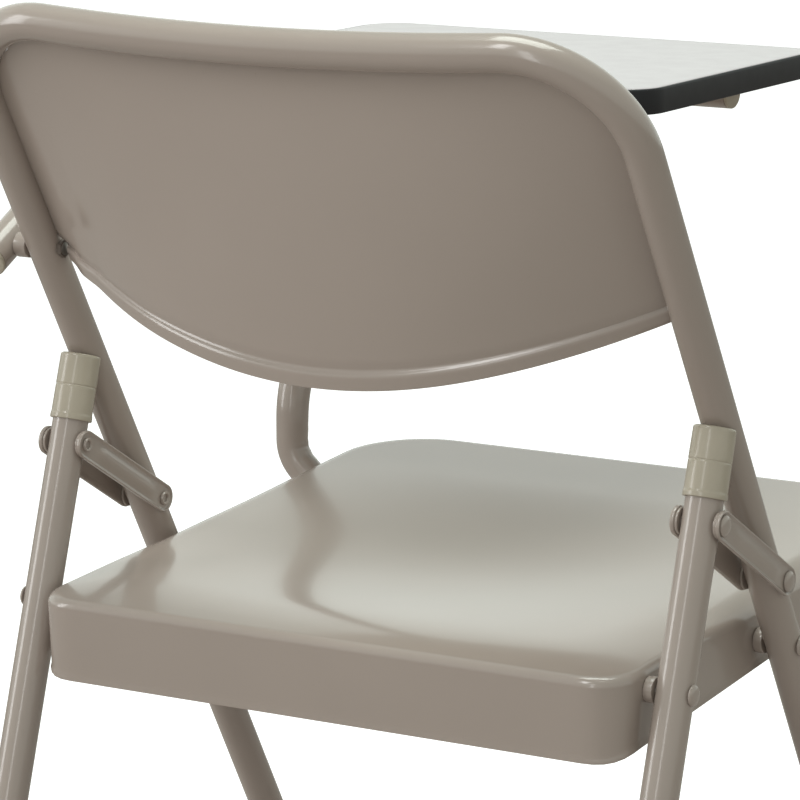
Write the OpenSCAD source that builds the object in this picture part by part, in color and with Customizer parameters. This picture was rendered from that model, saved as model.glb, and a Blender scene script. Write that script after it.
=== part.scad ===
// Folding tablet arm chair: bent steel tube frame, pressed steel seat and back, tablet on the sitter's left.
// Millimetres. Z up, the chair faces -Y, +X is the sitter's left. The origin is on the floor, below the
// middle of the chair's bounding box.

/* [Which part] */
// Sub-part to build

/* [Main frame] */
// Outside diameter of the frame tubes
tube_diameter = 22.2; // [20:0.1:24]
// Wall thickness of the frame tubes
tube_wall = 1.5; // [1.2:0.1:2]
// Distance between the centre lines of the two side tubes
frame_spacing = 438; // [430:1:450]
// Lean of the front legs and uprights away from vertical
front_lean = 30.2; // [28:0.1:32]
// Height of the front seat hinge above the floor
hinge_height = 395; // [380:1:410]
// Distance up the tube from the front seat hinge to the top tube
top_reach = 431; // [425:1:440]
// Radius of the two top corners
corner_radius = 70; // [65:1:85]
// Turn of each top corner towards the rear, which bows the top tube
corner_turn = 6.3; // [3:0.1:9]

/* [Folding linkage] */
// Distance up the tube from the seat hinge to the link hinge
link_hinge_reach = 51.8; // [48:0.1:56]
// Distance between the two holes of a link plate
link_length = 97.15; // [90:0.05:104]
// Angle between the upright and the links
link_angle = 29.05; // [26:0.05:32]
// Distance between the front and rear seat hinges
seat_hinge_spacing = 138.8; // [130:0.1:146]
// Angle between the upright and the line through the seat hinges
seat_hinge_angle = 58.97; // [57:0.01:61]
// Width of a link plate
link_width = 17.5; // [15:0.5:20]
// Thickness of a link plate
link_thickness = 1.6; // [1.2:0.1:1.8]
// Gap between the side of a tube and the link plate
link_gap = 1.95; // [1.8:0.05:2.1]
// Height of the raised edge around a link plate
link_rim = 1.2; // [0.8:0.1:1.6]
// Diameter of the hinge rivets
rivet_diameter = 6.4; // [5:0.1:7]
// Diameter of the rivet heads
rivet_head = 12.6; // [10:0.1:13]
// Diameter of the spacing bushes at the seat hinges
bush_diameter = 15.4; // [14:0.1:17]
// Diameter of the studs of the rear seat hinge
stud_diameter = 5.2; // [4:0.1:6]

/* [Rear legs] */
// Distance from the link hinge to the lower edge of a leg cap
cap_start = 14; // [12:1:18]
// Length of a leg cap
cap_length = 41; // [36:1:46]
// Wall thickness of a leg cap
cap_wall = 1.6; // [1.2:0.1:2.2]

/* [Crossbars and feet] */
// Diameter of the lower crossbars
crossbar_diameter = 16; // [14:0.5:19]
// Distance up the front legs from their lower ends to the front crossbar
front_crossbar_rise = 96.5; // [70:0.5:140]
// Distance up the rear legs from their lower ends to the rear crossbar
rear_crossbar_rise = 106; // [80:1:130]
// Height of the sleeve of a foot along its leg
foot_length = 34; // [28:1:40]
// Wall thickness of a foot
foot_wall = 2.4; // [2:0.1:3]

/* [Seat] */
// Distance from the front seat hinge to the front edge of the seat
seat_front = 246; // [240:1:250]
// Distance from the front seat hinge to the rear edge of the seat
seat_rear = 172.8; // [168:0.1:176]
// Height of the seat surface above the front seat hinge
seat_top = 27.5; // [25:0.5:30]
// Upward slope of the seat towards the front
seat_rise = 3.66; // [2:0.01:5]
// Half the width of the seat between the hinges
seat_half_width = 201.8; // [199:0.1:202]
// Extra half width of the seat near its front edge
seat_flare = 4.5; // [0:0.5:5]
// Depth of the skirt at the rear ends of its sides
skirt_rear = 49.6; // [46:0.1:54]
// Depth of the skirt at the front edge
skirt_front = 37.2; // [32:0.1:40]
// Extra depth of the skirt across the rear edge
skirt_tail = 4.8; // [2:0.1:7]
// Thickness of the seat sheet
seat_sheet = 1.5; // [1.2:0.1:2]
// Radius of the rolled top edge of the seat
seat_roll = 16; // [12:0.5:18]
// Radius of the rear corners of the seat
rear_corner = 25; // [22:1:28]
// Radius of the front corners of the seat
front_corner = 55; // [45:1:60]
// Depth of the hollow in the seat surface
seat_dish = 12; // [6:0.5:14]

/* [Back panel] */
// Distance up the tube from the seat hinge to the lower edge of the panel
panel_bottom = 237; // [230:1:245]
// Extra height of the lower edge at the sides of the panel
panel_edge_rise = 7; // [0:0.5:9]
// Thickness of the back panel sheet
panel_sheet = 1.4; // [1.2:0.1:2]
// Rearward bow of the panel at its upper edge
panel_bow_top = 16; // [12:0.5:18]
// Rearward bow of the panel at its lower edge
panel_bow_bottom = 80; // [60:1:85]
// Height of the folded lip along the lower edge
panel_lip = 10; // [8:0.5:12]
// Extra thickness of the folded lip
panel_lip_rise = 1; // [0.6:0.1:1.5]

/* [Arm] */
// Distance up the tube from the seat hinge to the arm pivot
arm_pivot_reach = 253.5; // [250:0.5:257]
// Length of the spacer between the upright and the arm tube
arm_spacer_length = 9; // [8:0.5:11]
// Slope of the rear part of the arm tube
arm_slope = 28; // [26:0.5:30]
// Length of the arm tube behind its pivot
arm_tail = 17; // [14:0.5:19]
// Radius of the bend of the arm tube
arm_bend = 60; // [50:1:70]
// Diameter of the pivot bolt of the arm
bolt_diameter = 8; // [6:0.5:9]
// Lean of the strut below the tablet
strut_lean = 28.3; // [26:0.1:30]
// Radius of the bend at the upper end of the strut
strut_top_bend = 45; // [42:1:55]
// Radius of the bend near the lower end of the strut
strut_knee_bend = 70; // [60:1:80]
// Height of the knee of the strut above the front seat hinge
strut_knee_rise = 51; // [49:0.5:56]
// Straight length between the knee and the kink below it
kink_drop = 13.5; // [12:0.5:18]
// Radius of the kink below the knee of the strut
kink_bend = 25; // [22:1:30]
// Angle of the kink below the knee of the strut
kink_angle = 45; // [42:1:50]
// Distance from the front seat hinge down to the bar below the seat
lower_bar_fall = 20; // [18:0.5:24]
// Radius of the bend from the strut to the bar below the seat
lower_bend = 45; // [42:1:50]
// Distance from the middle of the chair to the inner end of the bar below the seat
lower_bar_end = 20; // [10:1:30]
// Length of the stem of a cap in an arm tube end
arm_cap_length = 8; // [6:0.5:10]
// Thickness of the disc of a cap on an arm tube end
arm_cap_disc = 2.5; // [1.5:0.1:3]

/* [Tablet] */
// Height of the top of the tablet above the front seat hinge
tablet_rise = 308; // [304:1:314]
// Thickness of the tablet
tablet_thickness = 16.3; // [15:0.1:19]
// Distance from the middle of the chair to the outer edge of the tablet
tablet_outer = 270; // [266:1:276]
// Distance the tablet reaches past the middle of the chair
tablet_inner = 73.5; // [60:0.5:90]
// Distance from the front seat hinge to the rear edge of the tablet
tablet_rear = 93; // [88:1:100]
// Depth of the tablet from rear to front
tablet_depth = 258; // [250:1:266]
// Corner radius of the tablet
tablet_corner = 28; // [22:1:34]
// Width of the edge moulding
edge_width = 2.6; // [2:0.1:3.5]
// Thickness of the laminate on the tablet
laminate = 1; // [0.7:0.1:1.5]
// Distance from the middle of the chair to the end of the tube below the tablet, past the middle
support_end = 22.5; // [16:0.5:32]
// Distance from the front seat hinge to the tube below the tablet
support_reach = 312; // [308:1:316]

/* [Hidden] */
$fn = 96;
tube_radius = tube_diameter / 2;
bore_radius = tube_radius - tube_wall;
half_spacing = frame_spacing / 2;
joint_fit = 0.05;
body_gap = 0.3;
head_gap = 0.1;
bend_lap = 0.6;
bend_relief = 0.08;
run_over = 2;
far = 1000;
rivet_radius = rivet_diameter / 2;
hole_radius = rivet_radius + joint_fit;
stud_radius = stud_diameter / 2;
straight_top = top_reach - corner_radius;
arc_radius = (half_spacing - corner_radius * cos(corner_turn)) / sin(corner_turn);
arc_centre = corner_radius * sin(corner_turn) - arc_radius * cos(corner_turn);
floor_gap = 3.5;
front_leg_length = (hinge_height - floor_gap - tube_radius * sin(front_lean)) / cos(front_lean);

// Places of the hinges in the upright's frame, along the tube and rearward from it
cap_hinge_t = link_hinge_reach + link_length * cos(link_angle);
cap_hinge_n = link_length * sin(link_angle);
rear_hinge_t = seat_hinge_spacing * cos(seat_hinge_angle);
rear_hinge_n = seat_hinge_spacing * sin(seat_hinge_angle);
leg_turn = atan2(rear_hinge_n - cap_hinge_n, cap_hinge_t - rear_hinge_t);
leg_lean = leg_turn - front_lean;
leg_hinge_gap = norm([rear_hinge_n - cap_hinge_n, cap_hinge_t - rear_hinge_t]);
cap_hinge_height = hinge_height + cap_hinge_t * cos(front_lean) - cap_hinge_n * sin(front_lean);
cap_hinge_y = cap_hinge_t * sin(front_lean) + cap_hinge_n * cos(front_lean);
rear_leg_length = (cap_hinge_height - floor_gap - tube_radius * sin(leg_lean)) / cos(leg_lean);

// Axial places across a side tube, counted from its centre line
plate_inner = tube_radius + link_gap;
plate_outer = plate_inner + link_thickness;
plate_radius = link_width / 2;
rim_width = 1.2;
washer_gap = 0.15;
washer_radius = 8;
head_height = 2.7;
head_sphere = (rivet_head * rivet_head / 4 + head_height * head_height) / (2 * head_height);
ring_height = 1;
ring_radius = 4.6;
ring_hole = 2;
seat_side = half_spacing - seat_half_width;
bush_radius = bush_diameter / 2;
stud_root = -seat_side - seat_sheet - head_gap;
stud_tip = 8.5;
slot_radius = 4.5;
slot_run = 11.3;
slot_turn = 125.7;
slot_depth = 8.2;
rivet_tail = 5;

// Leg caps
cap_radius = tube_radius + cap_wall;
cap_top = 3;
cap_chamfer = 1;
cap_seam = 0.25;
cap_seam_width = 0.8;
cap_cut = 13.4;
cap_front = 3;
tube_cut = 13.5;

// Back panel
panel_half_width = half_spacing - tube_radius;
panel_offset = 3;
panel_top = top_reach - tube_radius;
panel_corner = corner_radius - tube_radius - body_gap;
panel_corner_x = half_spacing - corner_radius * cos(corner_turn);
panel_columns = 32;
panel_notch = 6.3;
panel_notch_depth = 4;

// Arm
arm_x = half_spacing + tube_radius + arm_spacer_length + tube_radius;
bolt_radius = bolt_diameter / 2;
bolt_hole = bolt_radius + joint_fit;
bolt_seat = arm_x - half_spacing + tube_radius + head_gap;
bolt_head_radius = 7;
bolt_head_height = 5;
nut_radius = 5.8;
nut_height = 3;
arm_pivot_y = arm_pivot_reach * sin(front_lean);
arm_pivot_z = hinge_height + arm_pivot_reach * cos(front_lean);
tablet_height = hinge_height + tablet_rise;
tablet_base = tablet_height - tablet_thickness;
support_z = tablet_base - tube_radius;
arm_rise = support_z - arm_pivot_z;
arm_bend_drop = arm_bend * (1 - cos(arm_slope));
arm_slope_length = (arm_rise - arm_bend_drop) / sin(arm_slope);
arm_level_start = arm_pivot_y - arm_slope_length * cos(arm_slope) - arm_bend * sin(arm_slope);
support_y = -support_reach;
arm_stop_gap = 14;
arm_level_length = arm_level_start - support_y - arm_stop_gap;
support_run = arm_x - strut_top_bend + support_end;
strut_top_drop = strut_top_bend * cos(strut_lean);
strut_knee_drop = strut_knee_bend * sin(strut_lean);
strut_knee_height = hinge_height + strut_knee_rise;
strut_drop = support_z - strut_knee_height - strut_top_drop - strut_knee_drop;
strut_run = strut_drop / cos(strut_lean);
lower_bar_height = hinge_height - lower_bar_fall;
kink_fall = kink_drop + kink_bend * sin(kink_angle) + lower_bend * (1 - sin(kink_angle));
kink_run = (strut_knee_height - lower_bar_height - kink_fall) / cos(kink_angle);
kink_side = kink_bend * (1 - cos(kink_angle)) + kink_run * sin(kink_angle) + lower_bend * cos(kink_angle);
lower_run = arm_x - kink_side - lower_bar_end;
lower_bar_y = support_y + strut_top_bend * sin(strut_lean) + strut_run * sin(strut_lean)
  + strut_knee_bend * (1 - cos(strut_lean));

// Bar saddles below the seat
saddle_thickness = 2.5;
saddle_width = 16;
saddle_gap = 0.3;
saddle_span = 64;
saddle_tilt = 12;
saddle_outer = 150;
saddle_inner = 60;
saddle_foot = 26;
saddle_inset = 1;

// Tablet screws
screw_radius = 2;
screw_hole = screw_radius + joint_fit;
screw_head_radius = 4.2;
screw_head_height = 2.6;
screw_bite = 10;
screw_front = 42;
screw_rear = 182;
screw_side = 62;
screw_span = 150;

// Middle of the bounding box, seen from the front seat hinge: tablet in front, rear feet behind, and
// sideways the tablet on the left and the rivet heads on the right
rear_reach = cap_hinge_y + cap_hinge_height * tan(leg_lean) + (tube_radius + foot_wall) / cos(leg_lean);
box_middle_y = (rear_reach - tablet_rear - tablet_depth) / 2;
box_middle_x = (tablet_outer - half_spacing - plate_outer - head_gap - head_height) / 2;

metal_colour = [0.72, 0.69, 0.63];
cap_colour = [0.79, 0.74, 0.62];
black = [0.12, 0.12, 0.13];
steel_colour = [0.7, 0.7, 0.72];

function smooth(v) = let(u = min(1, max(0, v))) u * u * (3 - 2 * u);

// Frames of reference: the outermost one moves the front seat hinge back from the origin
module in_chair() translate([-box_middle_x, -box_middle_y, 0]) children();
module in_upright() translate([0, 0, hinge_height]) rotate([-front_lean, 0, 0]) children();
module at_left() translate([half_spacing, 0, 0]) children();
module at_right() mirror([1, 0, 0]) translate([half_spacing, 0, 0]) children();
module at_both() {
  at_left() children();
  at_right() children();
}
module in_link() in_upright() translate([0, 0, link_hinge_reach]) rotate([-link_angle, 0, 0]) children();
module in_leg() in_upright() translate([0, cap_hinge_n, cap_hinge_t]) rotate([leg_turn, 0, 0]) children();
module in_seat() translate([0, 0, hinge_height]) rotate([-seat_rise, 0, 0]) children();
module at_rear_hinge() in_upright() translate([0, rear_hinge_n, rear_hinge_t]) children();
module at_cap_hinge() in_upright() translate([0, cap_hinge_n, cap_hinge_t]) children();

// A disc or ring along X, from one place to another
module across(from, to, radius, hole = 0) {
  translate([from, 0, 0]) rotate([0, 90, 0]) difference() {
    cylinder(h = to - from, r = radius);
    if (hole > 0) translate([0, 0, -run_over]) cylinder(h = to - from + 2 * run_over, r = hole);
  }
}

// Rods: a straight length or a bend, with whatever follows carried to its end.
// A straight length laps over the bends next to it, and a bend is thinner by the relief.
module run(length, radius, lap_before = 0, lap_after = 0) {
  translate([0, 0, -lap_before]) cylinder(h = length + lap_before + lap_after, r = radius);
  translate([0, 0, length]) children();
}
module turn(bend_radius, angle, roll, radius) {
  rotate([0, 0, roll]) {
    translate([bend_radius, 0, 0]) rotate([90, 0, 0]) mirror([1, 0, 0])
      rotate_extrude(angle = angle) translate([bend_radius, 0]) circle(r = radius - bend_relief);
    translate([bend_radius * (1 - cos(angle)), 0, bend_radius * sin(angle)]) rotate([0, angle, 0])
      children();
  }
}

// Round rivet head on a flat, standing out along +X
module dome(place) {
  translate([place, 0, 0]) rotate([0, 90, 0]) rotate_extrude() intersection() {
    translate([0, head_height - head_sphere]) circle(r = head_sphere);
    square([rivet_head, 2 * head_height]);
  }
}
module clinch(place) {
  across(place - ring_height, place, ring_radius, ring_hole);
}

module frame_path(radius, drop) {
  at_both() translate([0, 0, -drop]) run(drop + straight_top, radius, 0, bend_lap)
    turn(corner_radius, 90, 180 - corner_turn, radius) run(0, radius, bend_lap, bend_lap);
  translate([0, arc_centre, top_reach]) rotate([0, 0, 90 - corner_turn])
    rotate_extrude(angle = 2 * corner_turn) translate([arc_radius, 0]) circle(r = radius - bend_relief);
}
module front_frame() {
  color(metal_colour) in_chair() in_upright() difference() {
    frame_path(tube_radius, front_leg_length);
    frame_path(bore_radius, front_leg_length + run_over);
    at_both() across(-tube_diameter, tube_diameter, hole_radius);
    translate([0, 0, link_hinge_reach]) at_both() across(-tube_diameter, tube_diameter, hole_radius);
    translate([0, 0, arm_pivot_reach]) at_left() across(-tube_diameter, tube_diameter, bolt_hole);
  }
}

module crossbar_between(radius) {
  across(-half_spacing, half_spacing, radius, radius - tube_wall);
}

module front_crossbar() {
  color(metal_colour) in_chair() in_upright() difference() {
    translate([0, 0, front_crossbar_rise - front_leg_length]) crossbar_between(crossbar_diameter / 2);
    at_both() translate([0, 0, -front_leg_length]) cylinder(h = front_leg_length, r = tube_radius);
  }
}

// Foot sleeve on a leg whose tube ends at the local origin, cut flat at the floor
module above_floor() {
  intersection() {
    children();
    translate([-far, -far, 0]) cube([2 * far, 2 * far, far]);
  }
}
module foot_blank() {
  difference() {
    translate([0, 0, -foot_length]) cylinder(h = 2 * foot_length, r = tube_radius + foot_wall);
    cylinder(h = 2 * foot_length, r = tube_radius + joint_fit);
  }
}
module front_foot() above_floor() in_upright() at_left() translate([0, 0, -front_leg_length]) foot_blank();
module rear_foot() above_floor() in_leg() at_left() translate([0, 0, -rear_leg_length]) foot_blank();
module front_foot_left() color(black) in_chair() front_foot();
module front_foot_right() color(black) in_chair() mirror([1, 0, 0]) front_foot();
module rear_foot_left() color(black) in_chair() rear_foot();
module rear_foot_right() color(black) in_chair() mirror([1, 0, 0]) rear_foot();

// Back panel: a sheet bowed to the rear, more at the bottom than at the top
panel_side = panel_bottom + panel_edge_rise;
panel_row_shares = [0.21, 0.4, 0.6, 0.8, 1];
panel_rows = concat([0, panel_lip - panel_sheet, panel_lip],
  [for (share = panel_row_shares) share * (straight_top - panel_side)]);
panel_corner_shares = [0.2, 0.38, 0.53, 0.66, 0.77, 0.86, 0.93, 1];
function panel_width(t) = t <= straight_top ? panel_half_width
  : panel_corner_x + sqrt(max(0, panel_corner * panel_corner - (t - straight_top) * (t - straight_top)));
panel_heights = concat([for (r = panel_rows) panel_side + r],
  [for (share = panel_corner_shares) straight_top + (panel_top - straight_top) * sin(90 * share)]);
function panel_bow(t) = panel_bow_top
  + (panel_bow_bottom - panel_bow_top) * (panel_top - t) / (panel_top - panel_bottom);
function panel_point(row, share, lift) = let(
  side_t = panel_heights[row],
  x = panel_width(side_t) * share,
  fade = (panel_top - side_t) / (panel_top - panel_side),
  t = side_t - panel_edge_rise * (1 - share * share) * fade,
  s = x / panel_half_width,
  n = -panel_offset + panel_bow(t) * (1 - s * s)
) [x, n + lift, t];
panel_count = len(panel_heights);
panel_stride = panel_columns + 1;
panel_half = panel_count * panel_stride;
panel_points = concat(
  [for (j = [0:panel_count - 1]) for (i = [0:panel_columns])
    panel_point(j, 2 * i / panel_columns - 1, panel_sheet + (j < 2 ? panel_lip_rise : 0))],
  [for (j = [0:panel_count - 1]) for (i = [0:panel_columns]) panel_point(j, 2 * i / panel_columns - 1, 0)]);
panel_faces = concat(
  [for (j = [0:panel_count - 2]) for (i = [0:panel_columns - 1]) each let(a = j * panel_stride + i,
    b = a + 1, c = a + panel_stride, d = c + 1) [[a, b, d], [a, d, c]]],
  [for (j = [0:panel_count - 2]) for (i = [0:panel_columns - 1]) each let(
    a = panel_half + j * panel_stride + i, b = a + 1, c = a + panel_stride, d = c + 1)
    [[a, d, b], [a, c, d]]],
  [for (i = [0:panel_columns - 1]) each let(a = i, b = i + 1) [[a, a + panel_half, b], [b, a + panel_half,
    b + panel_half]]],
  [for (i = [0:panel_columns - 1]) each let(a = (panel_count - 1) * panel_stride + i, b = a + 1)
    [[a, b, a + panel_half], [b, b + panel_half, a + panel_half]]],
  [for (j = [0:panel_count - 2]) each let(a = j * panel_stride, b = a + panel_stride)
    [[a, b, a + panel_half], [b, b + panel_half, a + panel_half]]],
  [for (j = [0:panel_count - 2]) each let(a = j * panel_stride + panel_columns, b = a + panel_stride)
    [[a, a + panel_half, b], [b, a + panel_half, b + panel_half]]]);

module back_panel() {
  color(metal_colour) in_chair() in_upright() difference() {
    polyhedron(points = panel_points, faces = panel_faces);
    translate([panel_half_width - panel_notch_depth, 0, arm_pivot_reach]) {
      across(0, 2 * panel_notch_depth, panel_notch);
      translate([0, -panel_notch, -far]) cube([2 * panel_notch_depth, 2 * panel_notch, far]);
    }
  }
}

module rivet_through(inner_place, outer_place) {
  across(inner_place - ring_height, outer_place + joint_fit, rivet_radius);
  dome(outer_place);
  clinch(inner_place);
}

module front_hinge_rivets() {
  color(steel_colour) in_chair() in_upright() at_both()
    rivet_through(stud_root, tube_radius + head_gap);
}
module front_hinge_bushes() {
  color(steel_colour) in_chair() in_upright() at_both()
    across(-seat_side + body_gap, -tube_radius - joint_fit, bush_radius, hole_radius);
}
module link_hinge_rivets() {
  color(steel_colour) in_chair() in_upright() translate([0, 0, link_hinge_reach]) at_both()
    rivet_through(-plate_outer - head_gap, plate_outer + head_gap);
}
module cap_hinge_rivets() {
  color(steel_colour) in_chair() at_cap_hinge() at_both()
    rivet_through(-plate_outer - head_gap, plate_outer + head_gap);
}

// Link plates
module plate_outline(inset) {
  circle(r = plate_radius - inset);
  translate([-link_length, 0]) circle(r = plate_radius - inset);
  translate([-link_length, -plate_radius + inset]) square([link_length, link_width - 2 * inset]);
}
module plate_holes() {
  circle(r = hole_radius);
  translate([-link_length, 0]) circle(r = hole_radius);
}
module link_plate() {
  rotate([0, 90, 0]) union() {
    translate([0, 0, plate_inner]) linear_extrude(height = link_thickness) difference() {
      plate_outline(0);
      plate_holes();
    }
    translate([0, 0, plate_outer]) linear_extrude(height = link_rim) difference() {
      plate_outline(0);
      plate_outline(rim_width);
    }
  }
}
module inner_link_plate() mirror([1, 0, 0]) link_plate();
module link_plate_left_outer() color(metal_colour) in_chair() in_link() at_left() link_plate();
module link_plate_left_inner() color(metal_colour) in_chair() in_link() at_left() inner_link_plate();
module link_plate_right_outer() color(metal_colour) in_chair() in_link() at_right() link_plate();
module link_plate_right_inner() color(metal_colour) in_chair() in_link() at_right() inner_link_plate();

module washer_pair() {
  across(tube_radius + washer_gap, plate_inner, washer_radius, hole_radius);
  across(-plate_inner, -tube_radius - washer_gap, washer_radius, hole_radius);
}
module link_washers() {
  washer_pair();
  translate([0, 0, link_length]) washer_pair();
}
module link_washers_left() color(steel_colour) in_chair() in_link() at_left() link_washers();
module link_washers_right() color(steel_colour) in_chair() in_link() at_right() link_washers();

// Rear legs: the upper end is cut parallel to the upright, the slot frees the stud of the rear seat hinge
module leg_slot() {
  translate([0, 0, -leg_hinge_gap]) rotate([slot_turn, 0, 0]) {
    across(-2 * tube_radius, -slot_depth, slot_radius);
    translate([0, 0, slot_run]) across(-2 * tube_radius, -slot_depth, slot_radius);
    translate([-2 * tube_radius, -slot_radius, 0])
      cube([2 * tube_radius - slot_depth, 2 * slot_radius, slot_run]);
  }
}
module ahead_of(place) {
  in_upright() translate([half_spacing - far, place - far, -far]) cube([2 * far, far, 2 * far]);
}
module rear_leg() {
  difference() {
    in_leg() at_left() difference() {
      translate([0, 0, -rear_leg_length])
        cylinder(h = rear_leg_length + cap_start + cap_length - cap_top, r = tube_radius);
      translate([0, 0, -rear_leg_length - run_over])
        cylinder(h = rear_leg_length + cap_start + cap_length + run_over, r = bore_radius);
      across(-tube_diameter, tube_diameter, hole_radius);
      translate([0, 0, -leg_hinge_gap]) across(0, tube_diameter, hole_radius);
      leg_slot();
    }
    ahead_of(tube_cut);
  }
}
module rear_leg_left() color(metal_colour) in_chair() rear_leg();
module rear_leg_right() color(metal_colour) in_chair() mirror([1, 0, 0]) rear_leg();

module rear_crossbar() {
  color(metal_colour) in_chair() in_leg() difference() {
    translate([0, 0, rear_crossbar_rise - rear_leg_length]) crossbar_between(crossbar_diameter / 2);
    at_both() translate([0, 0, -rear_leg_length]) cylinder(h = rear_leg_length, r = tube_radius);
  }
}

module leg_cap() {
  difference() {
    in_leg() at_left() translate([0, 0, cap_start]) union() {
      cylinder(h = cap_chamfer, r1 = cap_radius - cap_chamfer, r2 = cap_radius);
      translate([0, 0, cap_chamfer]) cylinder(h = cap_length - cap_chamfer, r = cap_radius);
      translate([0, 0, (cap_length - cap_seam_width) / 2])
        cylinder(h = cap_seam_width, r = cap_radius + cap_seam);
    }
    difference() {
      in_leg() at_left() translate([0, 0, cap_start - cap_length])
        cylinder(h = 2 * cap_length - cap_top + joint_fit, r = tube_radius + joint_fit);
      ahead_of(cap_cut);
    }
    in_upright() at_left() cylinder(h = top_reach, r = tube_radius + body_gap);
    ahead_of(cap_front);
  }
}
module leg_cap_left() color(cap_colour) in_chair() leg_cap();
module leg_cap_right() color(cap_colour) in_chair() mirror([1, 0, 0]) leg_cap();

// Outer rivet of the rear seat hinge, held in the leg, and the stud that the seat carries
module rear_hinge_rivet_heads() {
  color(steel_colour) in_chair() at_rear_hinge() at_both() {
    dome(tube_radius + head_gap);
    across(rivet_tail, tube_radius + head_gap + joint_fit, rivet_radius);
  }
}
module rear_hinge_studs() {
  color(steel_colour) in_chair() at_rear_hinge() at_both() {
    across(stud_root - ring_height, -stud_tip, stud_radius);
    across(stud_root - ring_height, stud_root, ring_radius);
  }
}
module rear_hinge_bushes() {
  color(steel_colour) in_chair() at_rear_hinge() at_both()
    across(-seat_side + joint_fit, -tube_radius - body_gap, bush_radius, stud_radius + joint_fit);
}

// Seat pan: rings from the middle of the surface out over the rolled edge and down the skirt, then back
// inside
seat_steps = 80;
seat_middle = (seat_front - seat_rear) / 2;
seat_half_length = (seat_front + seat_rear) / 2;
surface_shares = [0.14, 0.28, 0.42, 0.56, 0.68, 0.79, 0.88];
roll_steps = 6;
roll_turns = [for (i = [0:roll_steps]) 90 * (1 - i / roll_steps)];
flare_start = 40;
flare_length = 160;
dish_end_share = 0.8;
skirt_slope = (skirt_rear - skirt_front) / (seat_front + seat_rear);

// Outline point for a turn around the middle: sides with rounded corners, wider towards the front
function outline_reach(f) = seat_half_width + seat_flare * smooth((f - flare_start) / flare_length);
function rounded_point(turn_angle) = let(
  c = cos(turn_angle),
  s = sin(turn_angle),
  radius = c > 0 ? front_corner : rear_corner,
  half_f = seat_half_length,
  f_sign = c >= 0 ? 1 : -1,
  x_sign = s >= 0 ? 1 : -1,
  ca = abs(c),
  sa = abs(s),
  flat_f = half_f - radius,
  flat_x = seat_half_width - radius,
  side_limit = atan2(seat_half_width, flat_f),
  front_limit = atan2(flat_x, half_f),
  a = atan2(sa, ca),
  f = a > side_limit ? seat_half_width * ca / sa : a < front_limit ? half_f
    : corner_f(a, flat_f, flat_x, radius),
  x = a > side_limit ? seat_half_width : a < front_limit ? half_f * sa / ca
    : corner_x(a, flat_f, flat_x, radius)
) [x_sign * x, f_sign * f];
function corner_hit(a, flat_f, flat_x, radius) = let(
  along = flat_f * cos(a) + flat_x * sin(a),
  square_gap = flat_f * flat_f + flat_x * flat_x - radius * radius
) along + sqrt(along * along - square_gap);
function corner_f(a, flat_f, flat_x, radius) = corner_hit(a, flat_f, flat_x, radius) * cos(a);
function corner_x(a, flat_f, flat_x, radius) = corner_hit(a, flat_f, flat_x, radius) * sin(a);

function dish_at(x, f) = let(
  u = (f + seat_rear) / ((seat_front + seat_rear) * dish_end_share),
  s = x / seat_half_width,
  across_share = max(0, 1 - s * s),
  along_share = u >= 1 ? 0 : sin(180 * u) * sin(180 * u)
) seat_dish * across_share * across_share * along_share;
function seat_place(k, share, inset, height) = let(
  p = rounded_point(k / seat_steps * 360),
  f = seat_middle + p[1] * share * (seat_half_length - inset) / seat_half_length,
  reach = outline_reach(f) / seat_half_width,
  x = p[0] * reach * share * (seat_half_width - inset) / seat_half_width
) [x, -f, height - dish_at(x, f)];
function skirt_place(k, inset) = let(
  p = rounded_point(k / seat_steps * 360),
  f = seat_middle + p[1] * (seat_half_length - inset) / seat_half_length,
  x = p[0] * outline_reach(f) / seat_half_width * (seat_half_width - inset) / seat_half_width
) [x, -f, seat_top - skirt_rear + skirt_slope * (f + seat_rear)
  - skirt_tail * smooth((rear_corner - f - seat_rear) / rear_corner)];
seat_rings = concat(
  [for (s = surface_shares) [for (k = [0:seat_steps - 1]) seat_place(k, s, seat_roll, seat_top)]],
  [for (a = roll_turns) [for (k = [0:seat_steps - 1])
    seat_place(k, 1, seat_roll * (1 - cos(a)), seat_top - seat_roll * (1 - sin(a)))]],
  [[for (k = [0:seat_steps - 1]) skirt_place(k, 0)]],
  [[for (k = [0:seat_steps - 1]) skirt_place(k, seat_sheet)]],
  [for (i = [len(roll_turns) - 1:-1:0]) let(a = roll_turns[i]) [for (k = [0:seat_steps - 1])
    seat_place(k, 1, seat_roll - (seat_roll - seat_sheet) * cos(a),
      seat_top - seat_roll + (seat_roll - seat_sheet) * sin(a))]],
  [for (i = [len(surface_shares) - 1:-1:0]) [for (k = [0:seat_steps - 1])
    seat_place(k, surface_shares[i], seat_roll, seat_top - seat_sheet)]]);
seat_ring_count = len(seat_rings);
seat_points = concat([for (r = seat_rings) each r],
  [seat_place(0, 0, seat_roll, seat_top), seat_place(0, 0, seat_roll, seat_top - seat_sheet)]);
seat_top_pole = seat_ring_count * seat_steps;
seat_under_pole = seat_top_pole + 1;
function seat_next(k) = (k + 1) % seat_steps;
seat_faces = concat(
  [for (k = [0:seat_steps - 1]) [seat_top_pole, seat_next(k), k]],
  [for (r = [0:seat_ring_count - 2]) for (k = [0:seat_steps - 1]) each let(
    a = r * seat_steps + k, b = r * seat_steps + seat_next(k), c = a + seat_steps, d = b + seat_steps)
    [[a, b, d], [a, d, c]]],
  [for (k = [0:seat_steps - 1]) let(base = (seat_ring_count - 1) * seat_steps)
    [seat_under_pole, base + k, base + seat_next(k)]]);

module seat_pan() {
  color(metal_colour) in_chair() difference() {
    in_seat() polyhedron(points = seat_points, faces = seat_faces);
    in_upright() across(-half_spacing - tube_radius, half_spacing + tube_radius, hole_radius);
    at_rear_hinge() across(-half_spacing, half_spacing, stud_radius + joint_fit);
  }
}

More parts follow.
